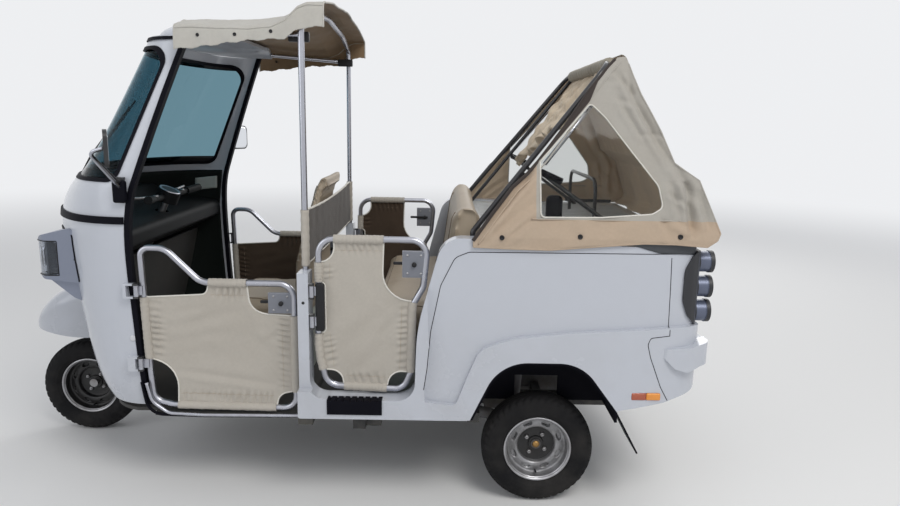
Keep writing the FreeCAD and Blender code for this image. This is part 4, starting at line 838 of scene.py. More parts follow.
frontDoor = {
    "y": 0.594, "centre": (axleX(1260), 0.62), "gap": 0.05, "depth": 0.0044,
    "outline": [(1577, 830, 0), (1333, 845, 26), (1320, 896, 0), (1171, 896, 0), (1160, 772, 70), (978, 762, 0),
                (986, 446, 0), (1056, 434, 50), (1067, 371, 0), (1466, 377, 0), (1458, 545, 110), (1571, 578, 0)],
    "sleeves": [[(1572.5, 576), (1579, 831)], [(1320, 893.5), (1171, 893.5)], [(986, 764), (986, 444)],
                [(1067, 373.5), (1466, 379.5)]],
    "creases": [((1500, 700), (1180, 790), 26, 2.6), ((1520, 640), (1250, 700), 22, 2.0),
                ((1490, 760), (1330, 800), 18, 1.8), ((1480, 530), (1060, 470), 15, 3.2),
                ((1060, 560), (1000, 480), 12, 2.4), ((1090, 600), (1180, 700), 20, 1.6),
                ((1440, 440), (1200, 400), 16, 1.6), ((1150, 850), (1100, 730), 22, 1.8),
                ((1020, 700), (1120, 640), 16, 1.6), ((1400, 600), (1150, 560), 40, 1.4)],
}
rearDoor = {
    "y": 0.656, "centre": (axleX(690), 0.76), "gap": 0.044, "depth": 0.0033,
    "outline": [(816, 1088, 0), (812, 1005, 58), (876, 996, 0), (876, 920, 0), (851, 915, 16), (850, 718, 16),
                (879, 714, 0), (858, 566, 0), (790, 562, 48), (781, 497, 0), (612, 491, 0), (600, 566, 55),
                (519, 558, 0), (513, 846, 0), (632, 866, 110), (625, 1088, 0)],
    "sleeves": [[(625, 1088), (816, 1088)], [(875, 997), (876.5, 921)],
                [(879, 714), (878.4, 664), (873, 610), (863, 567)],
                [(781, 497.4), (612, 490.6)], [(518, 560), (514, 824), (509.5, 845)]],
    "creases": [((640, 820), (800, 620), 34, 2.2), ((780, 1000), (820, 900), 20, 2.0),
                ((600, 700), (720, 560), 28, 1.8), ((700, 980), (640, 840), 30, 1.6),
                ((560, 800), (640, 700), 18, 1.8), ((830, 760), (700, 860), 30, 1.6),
                ((640, 540), (760, 520), 16, 1.4)],
}
tubeRadius = 0.0125


def doorCanvas(name, door, side, body, seed):
    # a slightly slack sheet with soft slanting folds, and puckered channels beside the sleeves
    centre = np.array(door["centre"])
    outline = flatOutline(fromTable(door["outline"]))
    lines = [(fromTable(rows)[0][:2], fromTable(rows)[-1][:2]) for rows in door["sleeves"]]

    def height(x, z, t=1.0):
        total = 0.0022 * ripple(x, z, seed + 1, 1.1) * (1 - np.asarray(t) ** 4) + 0.0004 * ripple(x, z, seed + 2, 7)
        for k, (a, b) in enumerate(lines):
            total = total + channel(x, z, a, b, centre, door["gap"], 0.027, door["depth"], seed + k)
        return side * (door["y"] + total + creases(x, z, door["creases"], 650))

    sheet = meshFromGrids(name, [panelGrid(outline, centre, height)], recalc=True)
    if (sheet.data.polygons[0].normal.y > 0) != (side > 0):
        sheet.data.flip_normals()
    dress(sheet, canvas, "canvas", body, thick=0.0016)
    lineWith(sheet, lining)

    def laid(line, lift=0.0):
        # points of the side view on the sheet
        return together(line[:, 0], height(*line.T) + side * lift, line[:, 1])

    sleeves, threads = [], []
    for k, rows in enumerate(door["sleeves"]):
        points = np.array([(x, side * door["y"], z) for x, z, _ in fromTable(rows)])
        path = respace(points, count=90)
        s = np.linspace(0, 1, 90)
        radius = tubeRadius + 0.0034 + 0.0007 * np.sin(s * 60 + k) * np.sin(s * 23)
        sleeves.append(tubeGrid(path, radius, 24, capped=False))
        a, b = lines[k]
        run = np.subtract(b, a)
        inward = np.array([-run[1], run[0]]) / math.hypot(*run)
        inward *= np.sign(inward @ (centre - np.array(a)))
        t = np.linspace(0.03, 0.97, 120)[:, None]
        flat = np.array(a) * (1 - t) + np.array(b) * t + inward * door["gap"]
        threads.append(laid(flat, 0.0009))
    sleeve = made(name + "_sleeves", sleeves, canvas, "canvas", body, recalc=False, thick=0.0014)
    seams = strand(name + "_seams", threads, 0.00075, thread, "canvas", 6, body=body)
    hemPath = laid(respacedLoop(outline, spacing=0.004))
    hemPiece = strand(name + "_hem", hemPath, 0.0042, canvasHem, "canvas", 10, body=body, closed=True, squeeze=0.75)
    return sheet, sleeve, hemPiece, seams


for sideName, side in (("left", 1), ("right", -1)):
    for doorName, door, seed, size in (("front_door", frontDoor, 21, (0.6, 0.52)),
                                       ("rear_door", rearDoor, 41, (0.4, 0.6))):
        body = doorName + "_" + sideName
        sheet, sleeve, hem, seams = doorCanvas(doorName + "_cloth_" + sideName, door, side, body, seed)
        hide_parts(doorName + "_canvas_" + sideName)
print("door canvases made")


fittings = {
    "plates": (("front_door", frontDoor, (989.5, 1087.5, 773.5, 856.5)),
               ("rear_door", rearDoor, (461.5, 553.5, 942.5, 1046.5))),
    "plateHalf": 0.0094, "rivet": [(0.0, 0.0026), (0.003, 0.0021), (0.0048, 0.0)], "rivetY": 0.0095,
    "spindle": [(0.0, 0.019), (0.009, 0.019), (0.01, -0.019), (0.0, -0.019)], "leverHalf": (0.00575, 0.006),
}


def doorFittings(p, sideName, side):
    # grey latch plates with rivets and a lever, and the black cover over the rear door's hinges
    for doorName, door, (x0, x1, z0, z1) in p["plates"]:
        body, y = doorName + "_" + sideName, door["y"]
        plate = sideBox(x0, x1, side * y, p["plateHalf"], z0 / 1000, z1 / 1000, 0.004)
        made(doorName + "_latch_" + sideName, plate, latchGrey, "bare_steel", body)
        rivets = []
        for fx, fz, face in product((0.22, 0.78), (0.16, 0.84), (1, -1)):
            at = (axleX(x0 + fx * (x1 - x0)), side * y + face * p["rivetY"], (z0 + fz * (z1 - z0)) / 1000)
            rivets.append(turnedGrid(p["rivet"], at, "y", 16, face))
        made(doorName + "_rivets_" + sideName, rivets, bareSteel, "bare_steel", body)
        middle, (halfY, halfZ) = (z0 + z1) / 2000, p["leverHalf"]
        lever = sideBox(x0 + 30, x1 + 36, side * (y - 0.01425), halfY, middle - halfZ, middle + halfZ, 0.004)
        spindle = turnedGrid(p["spindle"], (axleX(x0 + 46), side * y, middle), "y", 24)
        made(doorName + "_lever_" + sideName, lever + [spindle], blackPlastic, "plastic_grey", body)
    cover = sideBox(851, 886, side * 0.672, 0.01, 0.727, 0.917, 0.008)
    made("hinge_cover_" + sideName, cover, blackPlastic, "rubber_black", "rear_door_" + sideName)


doorFittings(fittings, "left", 1)
doorFittings(fittings, "right", -1)


# Partition behind the driver
partition = {"x": axleX(931), "half": 0.602, "low": 0.975, "high": 1.19}


def partitionGrid(p, side):
    # a sheet across the cab that sags between the posts, with upright creases
    y = np.linspace(-p["half"], p["half"], 180)[:, None]
    t = np.linspace(0, 1, 30)[None]
    sag = 0.016 * (1 - (y / p["half"]) ** 2)
    z = p["low"] + (p["high"] - p["low"]) * t - sag * (0.4 + 0.6 * t)
    x = p["x"] + 0.0035 * ripple(y, z, 61, 1.6) + 0.0007 * np.sin(y * 46) * t + side * 0.003
    return gridOf(x, y, z)


posts = {"y": 0.618, "radius": 0.015}
front = made("partition_cloth", [partitionGrid(partition, 1)], crossCanvas, "canvas", recalc=False, thick=0.0015)
# the passengers' side of the partition is the near-black copy: painted shade
back = made("partition_shaded_back", [partitionGrid(partition, -1)], crossCanvasShaded, "canvas", recalc=False, thick=0.0012)
heights = np.linspace(partition["low"] - 0.002, partition["high"] + 0.002, 40)
radii = posts["radius"] + 0.0006 * np.sin(np.linspace(0, 1, 40) * 40)
lines = [together(partition["x"], side * posts["y"], heights) for side in (1, -1)]
sleeves = [tubeGrid(line, radii, 24, capped=False) for line in lines]
sleeve = made("partition_sleeves", sleeves, canvas, "canvas", recalc=False, thick=0.0016)
hemRows = [partitionGrid(partition, 0)[0][:, k] for k in (0, -1)]
hem = strand("partition_hem", hemRows, 0.005, canvasHem, "canvas", 10, up=(1, 0, 0))
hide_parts("partition_canvas")
print("partition made")


# Roof canvas
# in millimetres: x, valance bottom, edge half width, edge height, shoulder half width, shoulder height, crown height
roofRows = np.array([
    (1404, 1778, 592, 1868, 470, 1900, 1904),
    (1330, 1786, 596, 1874, 460, 1904, 1912),
    (1240, 1798, 606, 1868, 450, 1906, 1922),
    (1130, 1812, 618, 1866, 440, 1912, 1932),
    (1040, 1817, 630, 1872, 425, 1928, 1954),
    (985, 1820, 634, 1895, 410, 1952, 1980),
    (940, 1850, 638, 1938, 402, 1978, 2002),
    (905, 1860, 640, 1952, 400, 1982, 2006),
    (845, 1862, 640, 1952, 400, 1978, 2002),
])


def roofGrid(rows):
    # across: valance, edge, shoulder and crown as one smooth curve; along: the rows, smoothly joined
    t = np.linspace(rows[0, 0], rows[-1, 0], 150)
    low, half, edge, shoulder, shoulderZ, crown = (
        np.interp(t, rows[::-1, 0], rows[::-1, k]) / 1000 for k in range(1, 7))
    v = np.linspace(-1, 1, 161)
    anchors = [-1, -0.78, -0.7, -0.45, 0, 0.45, 0.7, 0.78, 1]
    kernel = np.hanning(19) / np.hanning(19).sum()

    def smoothed(rows):
        # each row drawn through its anchors and then softened, except near the hems
        plain = np.stack([np.interp(v, anchors, row) for row in np.stack(rows, axis=1)])
        soft = np.stack([np.convolve(np.pad(r, 9, mode="edge"), kernel, "valid") for r in plain])
        return np.where(np.abs(v) < 0.93, soft, plain)

    y = smoothed([-half, -half, -half + 0.012, -shoulder, 0 * half, shoulder, half - 0.012, half, half])
    z = smoothed([low, edge - 0.012, edge, shoulderZ, crown, shoulderZ, edge, edge - 0.012, low])
    hang = np.clip((np.abs(v) - 0.72) / 0.28, 0, 1)
    u = np.linspace(0, 1, len(t))[:, None]
    flare = 0.006 * hang * np.sin(u * 24 + np.sign(v) * 1.3) * np.sin(u * 9 + 1)
    frayed = 0.0016 * np.sin(u * 213) * np.sin(u * 351 + 1) + 0.003 * np.sin(u * 41)
    y = y + np.sign(v) * flare
    z = z + 0.003 * ripple(u * 0.6, v * 1.2, 77, 3) * (1 - hang) + hang ** 6 * frayed
    return gridOf(axleX(t)[:, None], y, z)


roofPoints = roofGrid(roofRows)[0]
roof = meshFromGrids("roof_cloth", [(roofPoints, False, False)])
if roof.data.polygons[len(roof.data.polygons) // 2].normal.z < 0:
    roof.data.flip_normals()
dress(roof, roofCanvas, "canvas", thick=0.0022)
lineWith(roof, roofLining)
piping = [roofPoints[:, k] + (0, s * 0.0015, 0.001) for k, s in ((18, -1), (142, 1))]
ends = [roofPoints[k] for k in (0, -1)]
pipes = strand("roof_piping", piping, 0.0032, roofCanvas, "canvas", 8)
endHems = strand("roof_hems", ends, 0.0036, roofCanvas, "canvas", 8, up=(1, 0, 0))
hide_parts("roof_canvas")


snapProfile = [(0.0, 0.0008), (0.0045, 0.0008), (0.006, 0.0026), (0.0078, 0.003), (0.0092, 0.0018), (0.0095, -0.006)]


def snapGrids(places, size=1.0):
    # a press stud: a rolled rim round a sunken middle, facing sideways
    profile = np.array(snapProfile) * (size, 1)
    return [turnedGrid(profile, (axleX(x), side * y, z), "y", 20, side) for x, y, z in places for side in (1, -1)]


roofSnaps = []
for x, z in ((1316, 1.831), (1173, 1.833), (1038, 1.845)):
    row = np.argmin(np.abs(roofPoints[:, 0, 0] - axleX(x)))
    col = 80 + np.argmin(np.abs(roofPoints[row, 80:, 2] - z))
    roofSnaps.append((x, roofPoints[row, col, 1] + 0.0012, z))
made("roof_snaps", snapGrids(roofSnaps, 0.7), blackPlastic, "plastic_grey")
made("post_fittings", bothSides(sideBox(905, 983, 0.591, 0.013, 1.813, 1.85, 0.006)), blackPlastic, "plastic_grey")
print("roof canvas made")


# Hood
# in millimetres: rear edge from the skirt up to the crossbar, and front edge from the tub's corner up to it
rearEdge = [(-588, 1092), (-624, 1117), (-636, 1142), (-612, 1205), (-590, 1262), (-562, 1333), (-512, 1366),
            (-469, 1396), (-440, 1465), (-421, 1511), (-385, 1580), (-347, 1650), (-318, 1720), (-302, 1764)]
frontEdge = [(288, 1080), (287, 1101), (214, 1202), (141, 1297), (88, 1345), (38, 1401), (-60, 1530), (-152, 1664),
             (-222, 1750)]
hood = {
    "centre": (axleX(-165), 1.33),
    "window": [(-153, 1613, 14), (38, 1393, 12), (35, 1190, 16), (-194, 1193, 0), (-382, 1208, 40), (-423, 1232, 26),
               (-408, 1310, 60), (-293, 1454, 150), (-208, 1562, 60)],
    "creases": [((280, 1108), (60, 1360), 14, 9), ((250, 1090), (50, 1250), 16, 7), ((180, 1095), (60, 1190), 12, 5),
                ((110, 1290), (48, 1395), 10, 5), ((-512, 1330), (-535, 1120), 17, 24),
                ((-470, 1390), (-560, 1240), 16, 12), ((-455, 1330), (-505, 1140), 14, 10),
                ((-330, 1600), (-470, 1370), 15, 11), ((-280, 1700), (-400, 1500), 14, 10),
                ((-255, 1640), (-360, 1470), 10, 6), ((-560, 1300), (-600, 1150), 14, 9),
                ((-240, 1745), (-330, 1640), 12, 7), ((-100, 1090), (-60, 1180), 30, 3),
                ((-420, 1200), (-455, 1100), 14, 5), ((-240, 1640), (-345, 1600), 9, 4),
                ((-215, 1700), (-285, 1690), 8, 4), ((-330, 1500), (-440, 1500), 10, 4),
                ((-440, 1290), (-540, 1230), 10, 5), ((-450, 1190), (-560, 1150), 12, 5),
                ((-300, 1730), (-318, 1640), 8, 5)],
}


def hoodHalf(z):
    # half width at a height: the sides lean in above the skirt and hang straight below it
    return np.interp(z, [1.07, 1.114, 1.25, 1.4, 1.6, 1.8], [0.7215, 0.7215, 0.678, 0.6315, 0.568, 0.503])


def hoodY(x, z, t=1.0):
    fold = 0.0055 * ripple(x, z, 91, 1.8) + 0.001 * ripple(x, z, 92, 7)
    fold = fold + creases(x, z, hood["creases"], 770)
    return hoodHalf(z) + fold * (1 - np.clip((np.asarray(t) - 0.9) / 0.1, 0, 1) ** 2)


hoodOutline = flatOutline(fromTable(frontEdge[:-1] + [(-222, 1750, 20), (-258, 1788, 14), (-290, 1792, 10)] +
                                    rearEdge[::-1] + [(-472, 1100), (-352, 1101), (-266, 1094), (0, 1071)]))
hoodWindow = flatOutline(fromTable(hood["window"]))


def hoodSide(side):
    return (panelGrid(hoodOutline, hood["centre"], lambda x, z, t: side * hoodY(x, z, t), around=400, across=32,
                      inner=hoodWindow),
            panelGrid(hoodWindow, hood["centre"],
                      lambda x, z, t: side * (hoodHalf(z) - 0.0005 + (0.003 * ripple(x, z, 95, 2)) * (1 - t ** 4)),
                      around=200, across=18))


def hoodBack():
    # the rear and top panels: rows from the skirt up over the crossbar, with folds that fan down to the corners
    rows = np.array(rearEdge + [(-294, 1786), (-284, 1797), (-274, 1799)], float)
    path = respace(rows / 1000, count=110)
    x, z = path[:, 0][:, None] + rearAxle, path[:, 1][:, None]
    s = np.linspace(-1, 1, 190)[None]
    y = s * hoodHalf(z)
    free = (1 - s ** 8) * np.clip((1.8 - z) / 0.06, 0, 1)
    low = np.clip((1.5 - z) / 0.35, 0, 1)
    fan = 0.011 * np.sin(s * 15 + 2.2 * z + 0.5) * low + 0.006 * np.sin(s * 46 + 3 * np.sin(9 * z)) * (1 - low)
    corner = 0.016 * np.exp(-((np.abs(s) - 0.86 + 0.35 * (z - 1.2)) / 0.05) ** 2) * low
    slack = 0.01 * ripple(0.8 * y, z, 98, 1.4)
    gather = 0.008 * np.sin(s * 96 + 2 * np.sin(s * 33)) * np.clip((z - 1.5) / 0.16, 0, 1)
    return gridOf(x + (fan + corner + slack + gather) * free, y, z)


hoodPanels, hoodPanes = zip(hoodSide(1), hoodSide(-1))
hoodCloth = made("hood_cloth", [*hoodPanels, hoodBack()], hoodCanvas, "canvas", merge=0.0008, thick=0.0022)
lineWith(hoodCloth, hoodInsidePaintedLight)
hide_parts("hood_canvas")
panes = made("hood_panes", hoodPanes, clearVinyl, "clear_window", recalc=False, thick=0.0006)
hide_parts("hood_windows")


def hoodLine(outline, side, lift=0.0, spacing=0.005):
    # points of the side view on the leaning side of the hood
    path = respace(np.asarray(outline, float), spacing=spacing)
    return together(path[:, 0], side * (hoodHalf(path[:, 1]) + lift), path[:, 1])


windowLoop = np.concatenate([hoodWindow, hoodWindow[:1]])
hems, seams, bands, tucks = [], [], [], []
skirt = tableLine([(288, 1078), (150, 1073), (0, 1071), (-266, 1094), (-352, 1101), (-472, 1100), (-588, 1092)])
lap = tableLine([(70, 1184), (-300, 1184), (-500, 1186)])
lead = tableLine(frontEdge[1:] + [(-250, 1780)])
for side in (1, -1):
    hems.append(hoodLine(windowLoop, side, 0.001)[:-1])
    seams += [hoodLine(skirt, side), hoodLine(tableLine(rearEdge), side), hoodLine(lap, side, 0.002)]
    bands.append(hoodLine(lead, side, -0.003))
    tucks.append(hoodLine(lead + (-0.02, -0.012), side, 0.0015))
hemPiece = strand("hood_window_hems", hems, 0.005, canvasHem, "canvas", 10, closed=True, squeeze=0.6)
bindings = []
t = np.linspace(0, 1, 8)[None]
outer = respace(tableLine([(34, 1406), (-60, 1530), (-152, 1664), (-186, 1708)]), count=60)
inner = respace(tableLine([(40, 1399), (-58, 1511), (-150, 1620), (-184, 1700)]), count=60)
for side in (1, -1):
    x = outer[:, :1] * (1 - t) + inner[:, :1] * t
    z = outer[:, 1:] * (1 - t) + inner[:, 1:] * t
    fold = hoodY(x, z, 0.0) - hoodHalf(z)
    bindings.append(gridOf(x, side * (hoodHalf(z) + 0.0032 + np.clip(fold, 0, 0.02)), z))
binding = made("hood_front_binding", bindings, darkBand, "canvas", recalc=False, thick=0.0012)
seamPiece = strand("hood_seams", seams, 0.003, hoodCanvas, "canvas", 8)
bandPiece = strand("hood_front_band", bands, 0.007, darkBand, "canvas", 14)
tuckPiece = strand("hood_front_tuck", tucks, 0.003, hoodCanvas, "canvas", 8)
hoodSnaps = [(x, float(hoodY(axleX(x), z, 0.5)) + 0.0035, z) for x, z in ((-111, 1.123), (-484, 1.129), (180, 1.115))]
made("hood_snaps", snapGrids(hoodSnaps), blackPlastic, "plastic_grey")

# foam-wrapped crossbar, chrome slides, black stay ends and boots
crossbar = {"x": axleX(-253), "z": 1.771, "half": 0.405, "radius": 0.0262}
s = np.linspace(0, 1, 160)
bar = together(crossbar["x"], crossbar["half"] * (2 * s - 1), crossbar["z"])
radii = crossbar["radius"] + 0.002 * np.sin(s * 120) * np.sin(s * 47)
made("crossbar_foam", [tubeGrid(bar, radii, 20, up=(0, 0, 1))], foamWrap, "canvas")


def gathersGrid():
    # canvas bunched on the crossbar and hanging behind the bows, further down on the vehicle's right
    s = np.linspace(-1, 1, 320)[:, None]
    t = np.linspace(0, 1, 36)[None]
    length = 0.17 + 0.185 * (1 - s) + 0.014 * np.sin(s * 13)
    fall = length * t
    pleat = 0.006 * np.sin(s * 96 + 2.5 * np.sin(s * 11) + 2 * t) * (1.15 - 0.6 * t)
    deep = np.abs(np.sin(s * 14 + 1.3 * np.sin(s * 4 + 1) + 0.9 * t))
    pleat = pleat + 0.04 * (0.6 - deep) * np.clip(t / 0.15, 0, 1) + 0.014 * t * ripple(s, t, 133, 0.7)
    slant = np.sin(19 * t + 13 * s + 2.2 * np.sin(3 * s + 4 * t)) + 0.5 * np.sin(34 * t - 11 * s)
    pleat = pleat + 0.0075 * slant * np.clip(t / 0.3, 0, 1)
    x = axleX(-276) + 0.606 * fall - 0.796 * (pleat + 0.014 * np.sqrt(t))
    z = 1.764 - 0.796 * fall - 0.606 * (pleat + 0.014 * np.sqrt(t))
    return gridOf(x, s * (0.388 + 0.02 * t), z)


gathers = made("hood_gathers", [gathersGrid()], gathersPaintedLight, "canvas", recalc=False, thick=0.002)
slides, joints, boots = [], [], []
for side in (1, -1):
    low = np.array([axleX(18), side * 0.613, 1.383])
    high = np.array([axleX(-171), side * 0.545, 1.618])
    slides.append(np.array([low, low * 0.5 + high * 0.5, high]))
    joints.append(np.array([(axleX(30), side * 0.609, 1.352), (axleX(-2), side * 0.604, 1.338),
                            (axleX(-52), side * 0.6, 1.316)]))
    boots += sideBox(-62, 2, side * 0.585, 0.024, 1.1, 1.262, 0.02)
strand("hood_slides", slides, 0.0085, chrome, "chrome_tube", 16)
strand("stay_joints", joints, 0.0135, blackRubber, "rubber_black", 16)
made("hood_boots", boots, blackRubber, "rubber_black")
print("hood made")


# Seats
def leaningGrids(outline, half, depth=0.022, steps=5):
    # a side outline carried across the vehicle, each end hollowed a little inside its rim
    loop = respacedLoop(outline, count=120)
    middle = loop.mean(axis=0)
    a = np.linspace(0, np.pi / 2, steps)
    rim = list(zip(half - depth * np.cos(a)[::-1], depth * (1 - np.sin(a))[::-1]))
    span = np.hypot(*(loop - middle).T)
    hollow = half - depth
    sections = []
    for y, cut in [(-hollow, span)] + [(-y, cut) for y, cut in rim[::-1]] + rim + [(hollow, span)]:
        flat = middle + (loop - middle) * (1 - cut / span)[:, None]
        sections.append(together(flat[:, 0], y, flat[:, 1]))
    return [(np.stack(sections), False, True)]


pads = [
    {"name": "bench_seat_pad", "node": "bench_cushion", "voxel": 0.012, "cap": 0.02, "fill": 0.85},
    {"name": "bench_back_pad", "node": "bench_backrest", "voxel": 0.012, "cap": 0.014, "fill": 0.85,
     "outline": [(388, 797, 20), (388, 856, 120), (341, 1207, 40), (262, 1207, 40), (262, 797, 20)], "half": 0.553},
    {"name": "driver_seat_pad", "node": "driver_cushion", "voxel": 0.009, "cap": 0.016, "fill": 0.85},
    {"name": "driver_back_pad", "node": "driver_backrest", "voxel": 0.008, "cap": 0.008, "fill": 0.9,
     "outline": [(1070, 727, 26), (1062, 900, 200), (966, 1232, 60), (936, 1284, 20), (909, 1284, 12), (912, 1245, 8),
                 (944, 1238, 20), (973, 1130, 200), (973, 727, 26)], "half": 0.209},
]


def inflate(piece, cap, pressure=4.0):
    # cloth under air pressure, each point moved no further than cap from where it began
    points = pointsOf(piece.data)
    cloth = piece.modifiers.new("Cloth", "CLOTH")
    cloth.settings.quality = 4
    cloth.settings.use_pressure = True
    cloth.settings.uniform_pressure_force = pressure
    cloth.settings.effector_weights.gravity = 0
    scene = bpy.context.scene
    for step in range(1, 21):
        scene.frame_set(step)
    shift = pointsOf(piece.evaluated_get(bpy.context.evaluated_depsgraph_get()).data) - points
    piece.modifiers.remove(cloth)
    scene.frame_set(1)
    far = np.linalg.norm(shift, axis=1)[:, None] + 1e-9
    points = points + shift / far * cap * np.tanh(far / cap)
    piece.data.vertices.foreach_set("co", points.ravel())
    piece.data.update()


seamInset = 0.055
for pad in pads:
    low, high = (np.array(p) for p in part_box(pad["node"]))
    if "outline" in pad:
        grids = leaningGrids(flatOutline(fromTable(pad["outline"])), pad["half"])
    else:
        grids = roundedBoxGrids(low + 0.006, high - 0.006, 0.034, 6)
    piece = meshFromGrids(pad["name"], grids, recalc=True)
    remesh = piece.modifiers.new("Remesh", "REMESH")
    remesh.mode, remesh.voxel_size = "VOXEL", pad["voxel"]
    solid = bpy.data.meshes.new_from_object(piece.evaluated_get(bpy.context.evaluated_depsgraph_get()))
    piece.modifiers.clear()
    piece.data = solid
    inflate(piece, pad["cap"])
    piece.data.shade_smooth()
    dress(piece, vinyl, "vinyl", subdivide=1)
    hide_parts(pad["node"])
    finder = BVHTree.FromObject(piece, bpy.context.evaluated_depsgraph_get())
    seams = []
    if pad["name"] in ("bench_seat_pad", "driver_seat_pad"):
        a, b = low + seamInset, high - seamInset
        corners = ((a[0], a[1]), (b[0], a[1]), (b[0], b[1]), (a[0], b[1]))
        flat = roundedPath([(x, y, 0, 0.04) for x, y in corners], closed=True)
        starts = respace(flat, spacing=0.008)[:-1] + (0, 0, high[2] + 0.2)
        seams.append(castOnto(finder, starts, (0, 0, -1), 0.0006))
    else:
        for y in (-0.72 * pad["half"], 0.72 * pad["half"]):
            z = np.linspace(low[2] + 0.03, high[2] - 0.05, 60)
            seams.append(castOnto(finder, together(high[0] + 0.2, y, z), (-1, 0, 0), 0.0006))
    up = (0.1, 0, 1) if "seat" in pad["name"] else (1, 0, 0)
    strand(pad["name"] + "_seams", [s for s in seams if len(s) > 4], 0.0026, vinylPiping, "vinyl", up=up)
print("seats made")


# Lamps
shellFinder = surfaceOf("front_shell")
beyondNose = 1.8
headlamp = {
    "front": axleX(2058), "side": 0.497, "proud": 0.0004, "lensRear": axleX(1962), "inner": 0.334,
    "low": 0.8882, "high": 1.0298, "bowlY": 0.398, "bowlZ": 0.959, "bowlInset": 0.0125,
    "screwX": axleX(1892), "screwY": 0.4972, "screwZ": 0.956,
    "bowl": [(0.0, -0.0005), (0.02, 0.0005), (0.045, 0.0035), (0.058, 0.008), (0.0605, 0.008), (0.0605, -0.001),
             (0.0, -0.0012)],
    "bulb": [(0.0, 0.009), (0.008, 0.0085), (0.0125, 0.006), (0.0135, 0.0)],
    "screw": [(0.0, 0.0034), (0.004, 0.003), (0.0055, 0.0)],
    "gasket": [(0, 0.314, 0.862, 0.02), (0, 0.4975, 0.862, 0.01), (0, 0.4975, 1.064, 0.02), (0, 0.314, 1.07, 0.02)],
}
tailLenses = {
    "x": axleX(-643), "y": 0.628,
    "rows": (("top", 1.02, 0.0345, redLens), ("middle", 0.922, 0.0355, orangeLens),
             ("bottom", 0.825, 0.0365, clearLens)),
}
sideMarkers = {
    "y": 0.7325, "half": 0.005, "low": 0.4875, "high": 0.5165, "edge": 0.0045,
    "rows": (("rear", -453, -398, orangeLens), ("front", -397, -341, darkOrangeLens)),
}


def cornerPath(x1, y1, z, inner, rear):
    # along the front of the housing, round its outer corner and back along its side, at one height
    return [(x1, inner, z, 0), (x1, y1 - 0.034, z, 0.03), (x1 - 0.04, y1, z, 0.03), (rear, y1, z, 0)]


def lampPieces():
    p = headlamp
    rows = []
    depths = np.array([0.001, 0.001, 0.0045, 0.0045])
    heights = np.array([p["low"] + 0.001, p["high"] - 0.001, p["high"] - 0.001, p["low"] + 0.001])
    for depth, z in zip(depths, heights):
        path = cornerPath(p["front"] - depth, p["side"] - depth, z, p["inner"] + 0.001, p["lensRear"] + 0.001)
        rows.append(respace(roundedPath(path), count=70))
    shellGrid = np.stack(rows, axis=1)
    first, last = (np.broadcast_to(row.mean(axis=1, keepdims=True), row.shape)
                   for row in (shellGrid[:1], shellGrid[-1:]))
    closedGrid = np.concatenate([first, shellGrid, last])
    glass = made("headlamp_glass", bothSides([(closedGrid, False, True)]), lampGlass, "lens", sharp=30)
    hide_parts("lamp_lenses")
    starts = respace(roundedPath(p["gasket"], closed=True), spacing=0.006)[:-1] + (1.6, 0, 0)
    frames, bowls, bulbs, screws, gaskets = [], [], [], [], []
    for side in (1, -1):
        top, low = (roundedPath(cornerPath(p["front"] + p["proud"], p["side"] + p["proud"], p[edge], p["inner"],
                                           p["lensRear"])) for edge in ("high", "low"))
        frames.append(respacedLoop(np.concatenate([top, low[::-1]]), spacing=0.004) * (1, side, 1))
        at = (p["front"] - p["bowlInset"], side * p["bowlY"], p["bowlZ"])
        bowls.append(turnedGrid(p["bowl"], at, "x", 64))
        bulbs.append(turnedGrid(p["bulb"], at, "x", 32))
        screws.append(turnedGrid(p["screw"], (p["screwX"], side * p["screwY"], p["screwZ"]), "y", 20, side))
        gaskets.append(castOnto(shellFinder, starts * (1, side, 1), (-1, 0, 0), 0.001))
    made("headlamp_bowls", bowls, reflector, "lens")
    made("headlamp_bulb_caps", bulbs, blackPlastic, "lens")
    made("headlamp_screws", screws, blackPlastic, "plastic_grey")
    strand("headlamp_frames", frames, 0.0022, blackPlastic, "plastic_grey", 10, closed=True, up=(0.3, 0.2, 1))
    strand("headlamp_gaskets", gaskets, 0.0042, blackRubber, closed=True, up=(1, 0.3, 0.1))
    for label, z, radius, material in tailLenses["rows"]:
        profile = [(0, 0.002), (radius * 0.5, 0.001), (radius * 0.85, -0.0015), (radius, -0.0055), (radius, -0.01),
                   (0, -0.01)]
        grids = [turnedGrid(profile, (tailLenses["x"], side * tailLenses["y"], z), "x", 40, -1) for side in (1, -1)]
        made("tail_lens_" + label, grids, material, "lens")
    m = sideMarkers
    for label, x0, x1, material in m["rows"]:
        grids = []
        for side in (1, -1):
            grids += sideBox(x0, x1, side * m["y"], m["half"], m["low"], m["high"], m["edge"])
        made("side_marker_" + label, grids, material, "lens")


lampPieces()
print("lamps made")


# Nose, windscreen and mirrors
# in millimetres: z, back edge ahead of the front axle, half width, foremost point ahead of the front axle
noseRows = np.array([(376, -520, 588, -250), (440, -514, 598, -192), (600, -502, 600, -118), (860, -488, 600, -54),
                     (1060, -483, 600, -15), (1262, -510, 592, -86), (1569, -620, 556, -327),
                     (1838, -724, 520, -487)])


def noseRing(z, grow, count=80):
    # one level line round the nose: two small arcs at the sides joined by one big arc in front
    back, half, tip = (np.interp(z, noseRows[:, 0], noseRows[:, k]) for k in (1, 2, 3))
    a, b = tip - back + grow, half + grow
    r = 0.8 * a
    big = (a * a + b * b - 2 * b * r) / (2 * (a - r))
    phi = math.atan2(b - r, big - a)
    side = np.linspace(math.pi / 2, phi, count // 3)
    ahead = np.linspace(phi, 0, count - count // 3)[1:]
    x = np.concatenate([r * np.cos(side), a - big + big * np.cos(ahead)])
    y = np.concatenate([b - r + r * np.sin(side), big * np.sin(ahead)])
    x, y = np.concatenate([x, x[::-1][1:]]), np.concatenate([y, -y[::-1][1:]])
    return together(axleX(x + back + wheelbase), y / 1000, z / 1000)


